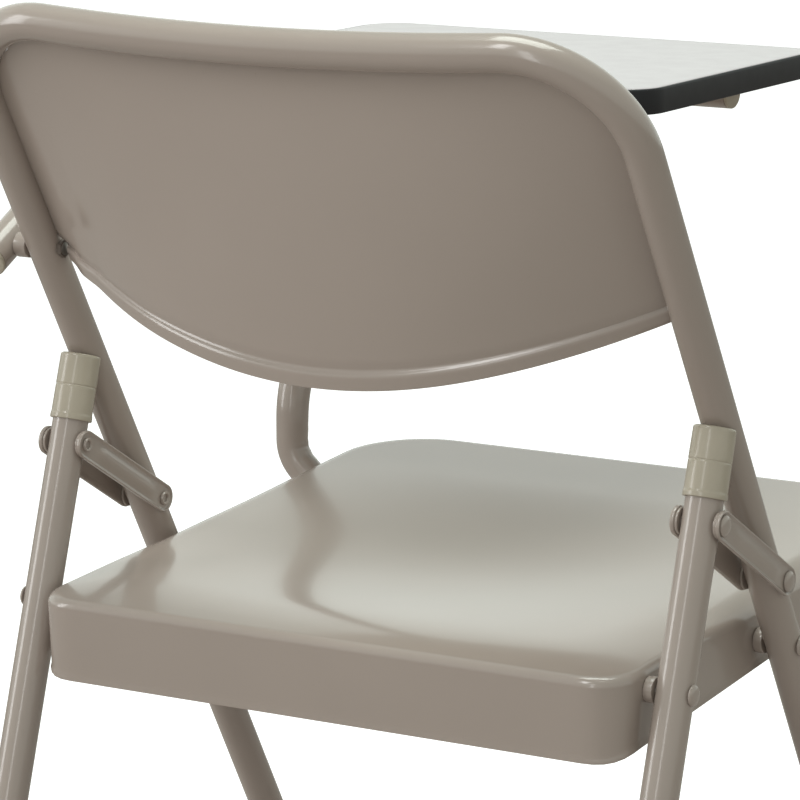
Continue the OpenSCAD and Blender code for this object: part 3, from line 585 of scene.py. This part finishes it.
class CHAIR_OT_leg_caps(Operator):
    """Plastic caps on the upper ends of the rear legs, hollowed in front to lie on the uprights"""
    bl_idname = "chair.leg_caps"
    bl_label = "Leg caps"

    def execute(self, context):
        f, _ = chair()
        z0, z1 = 0.014, 0.055  # ends of the cap, along the leg from its hinge
        seam = (z0 + z1) / 2 + 0.001
        lower = filleted([(z0 + 0.004, 0.0113), (z0, 0.0113), (z0, 0.0130), (z0 + 0.003, 0.0130),
                          (z0 + 0.0042, 0.01268), (seam - 0.0008, 0.01262)], 0.0007)
        ridge = [(seam - 0.0006, 0.0125), (seam - 0.0003, 0.0124), (seam, 0.01242), (seam + 0.0003, 0.01262)]
        upper = filleted([(seam + 0.0006, 0.01266), (z1, 0.0125), (z1, 0.0001)], 0.0018, 7)
        profile = np.concatenate([lower, ridge, upper])
        rings = turned(resampled(profile, 0.0008), (f.half_spacing, 0, 0), (0, 0, 1), 120)
        p = from_leg(rings)
        across = np.abs(p[..., 0] - f.half_spacing)
        clear = f.tube + 0.0003
        saddle = np.sqrt(np.maximum(clear ** 2 - across ** 2, 0))
        front = np.where(across < clear, np.maximum(saddle, 0.003), 0.003)
        p[..., 1] = np.maximum(p[..., 1], front)
        make_pair("leg_cap_moulding", tube_shell(from_upright(p)), "rear_legs", "leg_cap", "cap_plastic_finish",
                  32)
        return {"FINISHED"}


def link_shell(side, face):
    """A pressed link: the outline is a slot, each point the centre line plus the outline's normal times
    (half width - inset), and the height over the inset gives the raised edge and a soft rib."""
    f, k = chair()
    r, count, straight = k.width / 2, 200, k.length
    half_turn = math.pi * r
    s = np.linspace(0, 2 * straight + 2 * half_turn, count, endpoint=False)
    down, far, back = s - straight, s - straight - half_turn, s - 2 * straight - half_turn
    places = [down < 0, far < 0, back < 0]
    along = np.select(places, [s, straight, straight - far], 0)
    nx = np.select(places, [1, np.cos(down / r), -1], -np.cos(back / r))
    ny = np.select(places, [0, np.sin(down / r), 0], -np.sin(back / r))
    rib = smooth((along - 0.008) / 0.014) * smooth((straight - 0.008 - along) / 0.014)
    under = [(r, 0.0), (0.004, 0.0), (0.0008, 0.0), (0.0002, 0.0002), (0.0, 0.0006)]
    rim = [(0.0, 0.0021), (0.00015, 0.0025), (0.0005, 0.0027), (0.0009, 0.00265), (0.0013, 0.0023),
           (0.0018, 0.0018), (0.0024, 0.0016)]
    rows = [(inset, np.full(count, height)) for inset, height in under + rim]
    for inset in (0.0030, 0.0038, 0.0048, 0.0060, 0.0074, r):
        lift = 0.0013 * math.sin(math.pi / 2 * min(1, (inset - 0.0022) / 0.0062)) ** 2
        rows.append((inset, 0.0016 + lift * rib))
    h = face * (LINK_SEAT + np.array([height for _, height in rows]))
    half = (r - np.array([inset for inset, _ in rows]))[:, None]
    across, up = half * nx, along + half * ny
    x = side * (f.half_spacing + h)
    n = across * math.cos(k.angle) + up * math.sin(k.angle)
    t = k.reach + up * math.cos(k.angle) - across * math.sin(k.angle)
    verts = from_upright(np.stack([x, n, t], -1)).reshape(-1, 3)
    return verts, grid_faces(len(rows), count).tolist()


class CHAIR_OT_links(Operator):
    """Pressed link plates between the uprights and the rear legs, two on each side"""
    bl_idname = "chair.links"
    bl_label = "Links"

    def execute(self, context):
        for name, side in (("left", 1), ("right", -1)):
            for place, face in (("outer", 1), ("inner", -1)):
                make(f"link_pressing_{name}_{place}", [link_shell(side, face)], f"link_{name}",
                     f"link_plate_{name}_{place}", "frame_enamel", 50)
        return {"FINISHED"}


def dome_profile(base, head, height):
    """A low rivet dome with a rolled edge, from its flat underside to its crown."""
    a = np.linspace(0, math.pi / 2, 9)
    crown = np.stack([base + 0.0006 + (height - 0.0006) * np.sin(a), head * np.cos(a) ** 0.75], -1)
    crown[-1, 1] = 0.00002
    return np.concatenate([[(base, 0.0005), (base, head * 0.94), (base + 0.0002, head * 0.99)], crown])


def clinch_profile(base):
    """The rolled tubular end of a rivet: a ring with a deep round dimple."""
    return np.array([(base, 0.0003), (base, 0.0041), (base + 0.0003, 0.0044), (base + 0.0014, 0.0044),
                     (base + 0.0019, 0.0040), (base + 0.0020, 0.0034), (base + 0.0018, 0.0028),
                     (base + 0.0013, 0.0023), (base + 0.0004, 0.0021), (base + 0.0001, 0.0003)])


def rod_profile(a, b, radius):
    """A rod with slightly broken edges."""
    edge, chamfer, centre = radius * 0.96, 0.0002, 0.0001
    return np.array([(a, centre), (a, edge), (a + chamfer, radius), (b - chamfer, radius), (b, edge),
                     (b, centre)])


def ring_profile(a, b, outer, hole):
    return filleted([(a, hole), (a, outer), (b, outer), (b, hole)], 0.0005, 4)


def both_sides(profile, n, t, direction=1):
    """A turned profile across both side tubes: distances are from each tube's centre line, outward."""
    f, _ = chair()
    return [tube_shell(turned(profile, from_upright((side * f.half_spacing, n, t)), (side * direction, 0, 0)))
            for side in (1, -1)]


class CHAIR_OT_hinge_hardware(Operator):
    """Rivets, bushes and washers of the hinges"""
    bl_idname = "chair.hinge_hardware"
    bl_label = "Hinge hardware"

    def execute(self, context):
        f, _ = chair()
        link, cap, rear = hinges()
        head, head_height, shank = 0.0063, 0.0027, 0.00319
        plate, skirt = 0.01475, 0.0189  # faces under the rivets, from the tube's centre line

        def painted(name, shells, body, node):
            make(name, shells, body, node, "frame_enamel")

        def through(n, t, inner, outer):
            """A domed rivet outside, its rolled end inside and the shank between."""
            return (both_sides(dome_profile(outer, head, head_height), n, t)
                    + both_sides(clinch_profile(-inner), n, t, -1)
                    + both_sides(rod_profile(inner + 0.0001, outer + 0.0001, shank), n, t))

        painted("front_seat_rivets", through(0, 0, -skirt, f.tube + 0.0001), "front_frame",
                "front_hinge_rivets")
        painted("link_rivets", through(*link, -plate, plate), "front_frame", "link_hinge_rivets")
        painted("cap_rivets", through(*cap, -plate, plate), "rear_legs", "cap_hinge_rivets")
        painted("rear_seat_rivet_heads", both_sides(dome_profile(f.tube - 0.0002, head, 0.0029), *rear)
                + both_sides(rod_profile(0.005, f.tube, 0.0032), *rear), "rear_legs", "rear_hinge_rivet_heads")
        painted("front_seat_bushes", both_sides(ring_profile(-0.0169, -0.01115, 0.0077, 0.0033), 0, 0),
                "front_frame", "front_hinge_bushes")
        painted("rear_seat_bushes", both_sides(ring_profile(-0.01715, -0.0114, 0.0077, 0.0027), *rear), "seat",
                "rear_hinge_bushes")
        for name, side in (("left", 0), ("right", 1)):
            shells = []
            for n, t in (link, cap):
                for a, b in ((WASHER_SEAT, LINK_SEAT), (-LINK_SEAT, -WASHER_SEAT)):
                    shells.append(both_sides(ring_profile(a, b, 0.0080, 0.0033), n, t)[side])
            painted(f"link_washer_set_{name}", shells, f"link_{name}", f"link_washers_{name}")
        dress("rear_hinge_studs", "steel_finish")
        dress("bar_saddles", "frame_enamel")
        return {"FINISHED"}


class CHAIR_OT_seat(Operator):
    """Pressed seat pan with its hollow, rolled edge and skirt"""
    bl_idname = "chair.seat"
    bl_label = "Seat"

    def execute(self, context):
        f, _ = chair()
        z = context.scene.chair_seat
        a = np.linspace(0, 2 * math.pi, 288, endpoint=False)
        half, middle = (z.front + z.rear) / 2, (z.front - z.rear) / 2
        w, sheet, front_corner = z.half_width, 0.0015, 0.055
        c, s = np.abs(np.cos(a)), np.abs(np.sin(a))
        radius = np.where(np.cos(a) > 0, front_corner, z.corner)
        ff, fx = half - radius, w - radius
        ang = np.arctan2(s, c)
        hit = ff * np.cos(ang) + fx * np.sin(ang)
        hit = hit + np.sqrt(np.maximum(hit ** 2 - (ff ** 2 + fx ** 2 - radius ** 2), 0))
        side, front = ang > np.arctan2(w, ff), ang < np.arctan2(fx, half)
        px = np.where(side, w, np.where(front, half * s / np.maximum(c, 1e-9), hit * np.sin(ang)))
        px = px * np.sign(np.sin(a) + 1e-12)
        pf = np.where(side, w * c / np.maximum(s, 1e-9), np.where(front, half, hit * np.cos(ang)))
        pf = pf * np.where(np.cos(a) >= 0, 1, -1)

        def flare(fw):
            return (w + 0.0045 * smooth((fw - 0.04) / 0.16)) / w

        def dish(x, fw):
            u = (fw + z.rear) / ((z.front + z.rear) * 0.8)
            q = np.maximum(0, 1 - (x / w) ** 2)
            return z.dish * q * q * np.where(u < 1, np.sin(math.pi * np.clip(u, 0, 1)) ** 2, 0)

        def drop(fw, gap):
            """Fall of the surface at a distance gap from the edge: a plain roll in front, and towards the rear
            a gentle slope that ends in a tight roll."""
            plain = z.roll - np.sqrt(np.maximum(z.roll ** 2 - np.maximum(z.roll - gap, 0) ** 2, 0))
            tight, low = 0.006, 0.0035
            fall = np.where(gap < tight, low, low * np.clip(1 - (gap - tight) / 0.05, 0, 1) ** 2)
            fall = fall + tight - np.sqrt(np.maximum(tight ** 2 - np.maximum(tight - gap, 0) ** 2, 0))
            rear = smooth((0.02 - fw) / 0.12)
            return plain * (1 - rear) + fall * rear

        def ring(share, inset, height, depth=None):
            """The outline brought to a share of its size and moved inwards, on the surface or on the skirt."""
            fw = middle + pf * share * (half - inset) / half
            x = px * flare(fw) * share * (w - inset) / w
            if depth is None:
                h = height - dish(x, fw) - drop(fw, w - share * (w - inset))
            else:
                tail = z.skirt_tail * smooth((z.corner - fw - z.rear) / z.corner)
                climb = (z.skirt_rear - z.skirt_front) * (fw + z.rear) / (2 * half)
                h = z.top - z.skirt_rear + climb - tail + depth
            return np.stack([x, fw, h], -1)

        skin = [(q, 0.018) for q in np.linspace(0.02, 1, 44)] + [(1, d) for d in np.linspace(0.017, 0.005, 9)]
        skin += [(1, 0.005 * (1 - math.sin(t))) for t in np.radians(np.linspace(8, 90, 10))]
        rows = [ring(q, d, z.top) for q, d in skin]
        # hem below the skirt: (height, inset)
        curl = ((0.012, 0.0), (0.006, 0.0001), (0.0025, 0.0), (0.0012, -0.0005), (0.0004, -0.0004),
                (0.0, 0.0006), (0.0002, 0.0016), (0.0014, 0.0024), (0.0026, 0.0018), (0.006, 0.0016))
        rows += [ring(1, inset, 0, depth) for depth, inset in curl]
        rows += [ring(q, d + sheet, z.top - sheet) for q, d in skin[::-1]]
        p = np.array(rows)
        rise = math.radians(3.66)  # the seat climbs towards its front
        y = f.setback - p[..., 1] * math.cos(rise) + p[..., 2] * math.sin(rise)
        zz = f.hinge_height + p[..., 1] * math.sin(rise) + p[..., 2] * math.cos(rise)
        make("seat_pressing", [tube_shell(np.stack([p[..., 0], y, zz], -1))], "seat", "seat_pan",
             "sheet_enamel", 60)
        return {"FINISHED"}


class CHAIR_OT_back(Operator):
    """Bowed back panel with its folded lower lip"""
    bl_idname = "chair.back"
    bl_label = "Back panel"

    def execute(self, context):
        f, _ = chair()
        z = context.scene.chair_back
        straight = f.top_reach - f.corner
        top = f.top_reach - f.tube + 0.0002
        edge_rise, offset = 0.007, 0.003  # lower edge higher at the sides; face in front of the tubes' middle
        half = f.half_spacing - f.tube + 0.0002
        corner_x = f.half_spacing - f.corner * math.cos(f.corner_turn)
        inner = f.corner - f.tube - 0.0001
        low, lip = z.bottom + edge_rise, z.lip
        edge_step, border, sheet = 0.007, 0.036, 0.0014
        fold = np.array([0, 0.0006, 0.0018, 0.0045, 0.0075, lip - 0.0012, lip - 0.0004, lip, lip + 0.0006,
                         lip + 0.0016, lip + 0.004])
        heights = np.concatenate([low + fold, np.linspace(low + lip + 0.008, straight, 22)[:-1],
                                  straight + (top - straight) * np.sin(np.linspace(0, math.pi / 2, 26))])
        m = heights - low
        bulge = 0.0024 * smooth(m / 0.0018) * (1 - smooth((m - lip + 0.0012) / 0.0022))
        bulge -= 0.0009 * np.exp(-((m - lip - 0.001) / 0.0012) ** 2)
        share = np.sin(np.linspace(-math.pi / 2, math.pi / 2, 121) * 0.999)
        share = 0.55 * share + 0.45 * np.linspace(-1, 1, 121)

        def surface(lift):
            width = np.where(heights <= straight, half,
                             corner_x + np.sqrt(np.maximum(0, inner ** 2 - (heights - straight) ** 2)))
            t = heights[:, None] - edge_rise * (1 - share[None] ** 2) * ((top - heights) / (top - low))[:, None]
            x = width[:, None] * share[None]
            bow = (z.bow_top + edge_step * smooth((top - heights) / 0.14)
                   + (z.bow_bottom - z.bow_top) * (top - heights) / (top - z.bottom))
            n = -offset + bow[:, None] * (1 - (x / half) ** 2) + lift[:, None]
            side = (width[:, None] - np.abs(x)) / border
            step = edge_step * (side - 0.5 * (side - 1 + np.sqrt((side - 1) ** 2 + 0.008)))
            step = -step * smooth((x + 0.1) / 0.2) * smooth((top - t) / 0.14)
            gap = 0.0017 * np.exp(-((t - 0.33) / 0.045) ** 2) * smooth((-x - 0.19) / 0.015)
            notch = 0.0045 * smooth((x - 0.185) / 0.02) * (1 - smooth((t - 0.2585) / 0.003))
            return np.stack([x + gap - notch, n + step, t], -1)

        loop = np.concatenate([surface(sheet + bulge), surface(np.zeros_like(bulge))[::-1]])
        rows, columns = loop.shape[:2]
        verts = from_upright(loop).reshape(-1, 3)
        faces = looped_faces(rows, columns, around=False)
        for column, flip in ((0, 1), (columns - 1, 0)):
            for i in range(rows // 2 - 1):
                q = [row * columns + column for row in (i, i + 1, rows - 2 - i, rows - 1 - i)]
                faces.append(q if flip else q[::-1])
        make("back_pressing", [(verts, faces)], "front_frame", "back_panel", "sheet_enamel", 50)
        return {"FINISHED"}


class CHAIR_OT_arm(Operator):
    """Arm tube, the tube that carries the tablet, its caps and the pivot hardware"""
    bl_idname = "chair.arm"
    bl_label = "Arm"

    def execute(self, context):
        f, _ = chair()
        t = context.scene.chair_tablet
        r = f.tube
        x = f.half_spacing + 2 * r + 0.009
        slope, lean = math.radians(28), math.radians(28.3)
        pivot = from_upright((x, 0, ARM_PIVOT_REACH))
        level = t.height - t.thickness - r
        bend, tail = 0.060, 0.017
        climb = (level - pivot[2] - bend * (1 - math.cos(slope))) / math.sin(slope)
        head = np.array([0, -math.cos(slope), math.sin(slope)])
        cross_y = f.setback - 0.312
        start = pivot - head * tail
        bend_end = pivot[1] - climb * math.cos(slope) - bend * math.sin(slope)
        path = trace(start, head, [(tail + climb,), (bend, slope, (0, -math.sin(slope), -math.cos(slope))),
                                   (bend_end - cross_y - 0.014,)])
        make("arm_tube_bent", [tube_shell(sweep(path, r, (1, 0, 0)))], "arm", "arm_tube", "frame_enamel")
        down = np.array([0, math.sin(lean), -math.cos(lean)])
        top_bend, knee_bend, kink_bend, bar_bend, end = 0.045, 0.070, 0.025, 0.045, 0.0225
        knee, bar, short, kink = f.hinge_height + 0.051, f.hinge_height - 0.020, 0.0135, math.pi / 4
        drop = level - knee - top_bend * math.cos(lean) - knee_bend * math.sin(lean)
        slant = (knee - short - bar - (kink_bend - bar_bend) * math.sin(kink) - bar_bend) / math.cos(kink)
        side = kink_bend * (1 - math.cos(kink)) + slant * math.sin(kink) + bar_bend * math.cos(kink)
        path = trace((-end, cross_y, level), (1, 0, 0), [
            (x - top_bend + end,), (top_bend, math.pi / 2, down), (drop / math.cos(lean),),
            (knee_bend, lean, (0, -math.cos(lean), -math.sin(lean))), (short,), (kink_bend, kink, (-1, 0, 0)),
            (slant,), (bar_bend, kink, (-1, 0, -1)), (x - side - 0.020,)], 0.003)

        def wrinkled(d, a, p):
            """The tight bend below the knee is pressed flat inside, with two small buckles."""
            below = p[:, 2] - knee + 0.021
            near = np.exp(-(below / 0.016) ** 2) * smooth((p[:, 0] - 0.20) / 0.02)
            wave = 0.5 + 0.5 * np.cos(below / 0.009 * 2 * math.pi)
            return 1 - near[:, None] * np.maximum(0, -np.sin(a)) ** 3 * (0.05 + 0.06 * wave[:, None])

        make("tablet_support_bent", [tube_shell(sweep(path, r, (0, 1, 0), 56, wrinkled))], "arm",
             "tablet_support_tube", "frame_enamel")
        ends = [(start, -head), (np.array([-end, cross_y, level]), (-1, 0, 0)), (path[-1], (-1, 0, 0))]
        plug = filleted([(-0.008, 0.0001), (-0.008, r - 0.0016), (0.0001, r - 0.0016), (0.0001, r), (0.0025, r),
                         (0.0025, 0.0001)], 0.0011, 6)
        make("arm_tube_plugs", [tube_shell(turned(plug, place, out, 56)) for place, out in ends], "arm",
             "arm_tube_caps", "cap_plastic_finish")
        spacer = filleted([(0.01115, 0.0041), (0.01115, 0.0077), (0.0200, 0.0077), (0.0200, 0.0041)], 0.0006, 4)
        base = from_upright((f.half_spacing, 0, ARM_PIVOT_REACH))
        make("arm_spacer_turned", [tube_shell(turned(spacer, base, (1, 0, 0)))], "front_frame", "arm_spacer",
             "frame_enamel")
        a = x - f.half_spacing + r
        bolt = np.concatenate([rod_profile(-0.0138, a + 0.0002, 0.004)[:-1],
                               dome_profile(a + 0.0001, 0.007, 0.0049)[1:]])
        make("arm_pivot_bolt", [tube_shell(turned(bolt, base, (1, 0, 0)))], "front_frame", "arm_bolt",
             "steel_finish")
        flats = filleted([(-0.01115, 0.0001), (-0.01115, 0.0058), (-0.0141, 0.0058), (-0.0141, 0.0041),
                          (-0.0136, 0.0040), (-0.0136, 0.0001)], 0.0004, 4)
        hexagon = turned(flats, base, (1, 0, 0), 60)
        turn = np.arange(60) * 2 * math.pi / 60
        cut = math.cos(math.pi / 6) / np.cos((turn + math.pi / 6) % (math.pi / 3) - math.pi / 6)
        reach = np.linalg.norm((hexagon - base)[..., 1:], axis=-1)
        trim = np.where(reach > 0.005, cut[None], 1.0)
        hexagon[..., 1:] = base[1:] + (hexagon - base)[..., 1:] * trim[..., None]
        make("arm_pivot_nut", [tube_shell(hexagon)], "front_frame", "arm_nut", "nut_finish")
        return {"FINISHED"}


def rounded_outline(x0, x1, y0, y1, radius, inset, corner_steps=18):
    """A rounded rectangle moved inwards by inset, anticlockwise."""
    out = []
    r = radius - inset
    for cx, cy, a0 in ((x1 - radius, y1 - radius, 0), (x0 + radius, y1 - radius, 90),
                       (x0 + radius, y0 + radius, 180), (x1 - radius, y0 + radius, 270)):
        a = np.radians(a0 + np.linspace(0, 90, corner_steps))
        out.append(np.stack([cx + r * np.cos(a), cy + r * np.sin(a)], -1))
    return np.concatenate(out)


class CHAIR_OT_tablet(Operator):
    """Writing tablet: board core, laminate and the black edge moulding"""
    bl_idname = "chair.tablet"
    bl_label = "Tablet"

    def execute(self, context):
        f, _ = chair()
        t = context.scene.chair_tablet
        x0, x1, depth = -0.0735, 0.270, 0.258
        y1 = f.setback - 0.093
        y0 = y1 - depth
        top, low = t.height, t.height - t.thickness

        def layers(*levels):
            """Outlines of the tablet, each moved inwards by inset at the height z."""
            rings = []
            for inset, z in levels:
                p = rounded_outline(x0, x1, y0, y1, t.corner, inset)
                rings.append(np.concatenate([p, np.full((len(p), 1), z)], 1))
            return np.array(rings)

        p = layers((0.0026, low + 0.0002), (0.0012, low), (0.0005, low + 0.0002), (0.00012, low + 0.0006),
                   (0, low + 0.0013), (-0.0001, (low + top) / 2), (0, top - 0.0016), (0.00015, top - 0.0009),
                   (0.0006, top - 0.0004), (0.0012, top - 0.00025), (0.0022, top - 0.0004),
                   (0.0026, top - 0.0008))
        edging = p.reshape(-1, 3), looped_faces(*p.shape[:2])
        make("tablet_edge_moulding", [edging], "arm", "tablet_edge", "edging_finish", 50)
        plate = layers((0.0075, top - 0.001), (0.0028, top - 0.001), (0.00275, top - 0.0003), (0.0031, top),
                       (0.0075, top), (0.0275, top))
        make("tablet_laminate_sheet", [tube_shell(plate)], "arm", "tablet_laminate", "laminate_finish",
             50)
        board = layers((0.0275, low), (0.0032, low), (0.00265, low + 0.0004), (0.00265, top - 0.0013),
                       (0.00262, top - 0.00102), (0.0275, top - 0.00102))
        make("tablet_board_core", [tube_shell(board)], "arm", "tablet_board", "board_finish", 50)
        dress("tablet_screws", "steel_finish")
        return {"FINISHED"}


class CHAIR_OT_feet(Operator):
    """Rubber feet on the four legs"""
    bl_idname = "chair.feet"
    bl_label = "Feet"

    def execute(self, context):
        f, _ = chair()
        outer, height = f.tube + 0.0024, 0.034
        low, drop = front_leg_end(), rear_leg_drop()
        front = [[f.half_spacing, 0, low], [f.half_spacing, 0, low + height]]
        rear = from_leg([[f.half_spacing, 0, -drop], [f.half_spacing, 0, -drop + height]])
        profile = filleted([(-0.022, 0.0001), (-0.022, outer), (0.026, outer), (height, outer - 0.0008),
                            (height, f.tube + 0.0001)], 0.0012, 6)
        for name, body, ends in (("front_foot", "front_frame", front), ("rear_foot", "rear_legs", rear)):
            ends = from_upright(ends)
            axis = ends[1] - ends[0]
            axis /= np.linalg.norm(axis)
            rings = turned(resampled(profile, 0.001), ends[0], axis, 64)
            groove = np.exp(-((rings[..., 2] - 0.006) / 0.0012) ** 2)[..., None]
            centre = ends[0] + (rings - ends[0]) @ axis[:, None] * axis
            rings = centre + (rings - centre) * (1 - 0.05 * groove)
            rings[..., 2] = np.maximum(rings[..., 2], 0.0)  # flat on the floor
            make_pair(name + "_moulding", tube_shell(rings), body, name, "rubber_finish", 35)
        return {"FINISHED"}


class CHAIR_OT_stage(Operator):
    """Pale floor, soft studio light and the camera"""
    bl_idname = "chair.stage"
    bl_label = "Stage"

    def execute(self, context):
        scene = context.scene
        scene.view_settings.view_transform = "Standard"
        mesh = bpy.data.meshes.new("studio_floor")
        far = 40.0
        mesh.from_pydata([(-far, -far, 0), (far, -far, 0), (far, far, 0), (-far, far, 0)], [], [(0, 1, 2, 3)])
        show("studio_floor", mesh)
        mat = bpy.data.materials.new("floor_white")
        mat.use_nodes = True
        g = Graph(mat.node_tree)
        g.tree.nodes.clear()

        def glowing(paint, glow, strength):
            """A matt surface that also gives a little light."""
            both = g.add("ShaderNodeAddShader")
            g.feed(both.inputs[0], g.add("ShaderNodeBsdfDiffuse", Color=paint).outputs[0])
            g.feed(both.inputs[1], g.add("ShaderNodeEmission", Color=glow, Strength=strength).outputs[0])
            return both.outputs[0]

        pick = g.add("ShaderNodeMixShader")
        g.feed(pick.inputs["Fac"], g.add("ShaderNodeLightPath").outputs["Is Camera Ray"])
        g.feed(pick.inputs[1], glowing((0.345, 0.312, 0.292, 1), (1.0, 0.93, 0.88, 1), 0.10))
        g.feed(pick.inputs[2], glowing((0.62, 0.62, 0.62, 1), (1, 1, 1, 1), 0.80))
        g.feed(g.add("ShaderNodeOutputMaterial").inputs["Surface"], pick.outputs[0])
        mesh.materials.append(mat)

        scene.world = bpy.data.worlds.new("studio_world")
        scene.world.use_nodes = True
        g = Graph(scene.world.node_tree)
        heading = g.add("ShaderNodeTexCoord").outputs["Generated"]
        parts = g.add("ShaderNodeSeparateXYZ")
        g.feed(parts.inputs[0], heading)
        facing = g.add("ShaderNodeVectorMath", operation="DOT_PRODUCT")
        g.feed(facing.inputs[0], heading)
        g.feed(facing.inputs[1], (0.75, -0.66, 0.0))
        turn = g.ramp(facing.outputs["Value"], -0.9, 0.7)
        rim = g.blend(turn, (0.74, 0.77, 0.71), (0.92, 0.98, 0.92))
        sky = g.blend(g.ramp(parts.outputs["Z"], 0.32, 0.58), rim, (0.46, 0.52, 0.48))
        seen = g.add("ShaderNodeLightPath").outputs["Is Camera Ray"]
        g.feed(g.tree.nodes["Background"].inputs["Color"], g.blend(seen, sky, (1, 1, 1)))

        def lamp(name, place, aim, size, power, tint=(1.0, 1.0, 1.0)):
            light = bpy.data.lights.new(name, "AREA")
            light.color = tint
            light.shape = "RECTANGLE"
            light.size, light.size_y = size
            light.energy = power
            obj = show(name, light)
            obj.location = place
            obj.rotation_euler = (Vector(aim) - Vector(place)).to_track_quat("-Z", "Y").to_euler()

        lamp("top_softbox", (0.1, 0.0, 2.6), (0, 0, 0.4), (1.2, 1.2), 27, (0.93, 1.0, 0.93))
        lamp("rear_softbox", (0.5, 2.1, 2.7), (0, 0, 0.6), (0.5, 1.2), 15)
        lamp("left_softbox", (2.2, 1.5, 1.2), (0, 0, 0.5), (0.7, 1.6), 15)
        lamp("strip_light", (-0.35, 2.8, 1.5), (0, 0, 0.5), (0.35, 2.0), 8)

        yaw, pitch, roll = math.radians(31.06), math.radians(11.34), math.radians(-0.14)
        ahead = Vector((math.sin(yaw) * math.cos(pitch), -math.cos(yaw) * math.cos(pitch), -math.sin(pitch)))
        right = Vector((-math.cos(yaw), -math.sin(yaw), 0))
        up = right.cross(ahead)
        right, up = right * math.cos(roll) + up * math.sin(roll), up * math.cos(roll) - right * math.sin(roll)
        cam_data = bpy.data.cameras.new("photo_camera")
        cam_data.sensor_width = 36.0
        focal_pixels, picture_pixels = 4301.0, 800.0
        cam_data.lens = focal_pixels / picture_pixels * cam_data.sensor_width
        cam = show("photo_camera", cam_data)
        pose = Matrix((right, up, -ahead)).transposed().to_4x4()
        pose.translation = (-1.312775, 2.263237, 1.036)
        cam.matrix_world = pose
        scene.camera = cam
        return {"FINISHED"}


class CHAIR_PT_panel(Panel):
    """Lists the chair's pieces and sizes"""
    bl_idname = "CHAIR_PT_panel"
    bl_label = "Folding tablet arm chair"
    bl_space_type = "VIEW_3D"
    bl_region_type = "UI"
    bl_category = "Chair"

    def draw(self, context):
        for key, group in GROUPS.items():
            box = self.layout.box()
            for name in group.__annotations__:
                box.prop(getattr(context.scene, key), name)
        for op in OPERATORS:
            self.layout.operator(op.bl_idname)


GROUPS = {"chair_frame": ChairFrameSizes, "chair_links": ChairLinkSizes, "chair_seat": ChairSeatSizes,
          "chair_back": ChairBackSizes, "chair_tablet": ChairTabletSizes, "chair_finishes": ChairFinishes}
OPERATORS = (CHAIR_OT_stage, CHAIR_OT_frame_tube, CHAIR_OT_rear_legs, CHAIR_OT_leg_caps, CHAIR_OT_links,
             CHAIR_OT_hinge_hardware, CHAIR_OT_seat, CHAIR_OT_back, CHAIR_OT_arm, CHAIR_OT_tablet,
             CHAIR_OT_feet)


def register():
    for cls in (*GROUPS.values(), *OPERATORS, CHAIR_PT_panel):
        bpy.utils.register_class(cls)
    for name, cls in GROUPS.items():
        setattr(bpy.types.Scene, name, PointerProperty(type=cls))


def unregister():
    for name in GROUPS:
        delattr(bpy.types.Scene, name)
    for cls in (CHAIR_PT_panel, *OPERATORS[::-1], *reversed(GROUPS.values())):
        bpy.utils.unregister_class(cls)


def main():
    register()
    for op in OPERATORS:
        group, name = op.bl_idname.split(".")
        getattr(getattr(bpy.ops, group), name)()


if __name__ == "__main__":
    main()
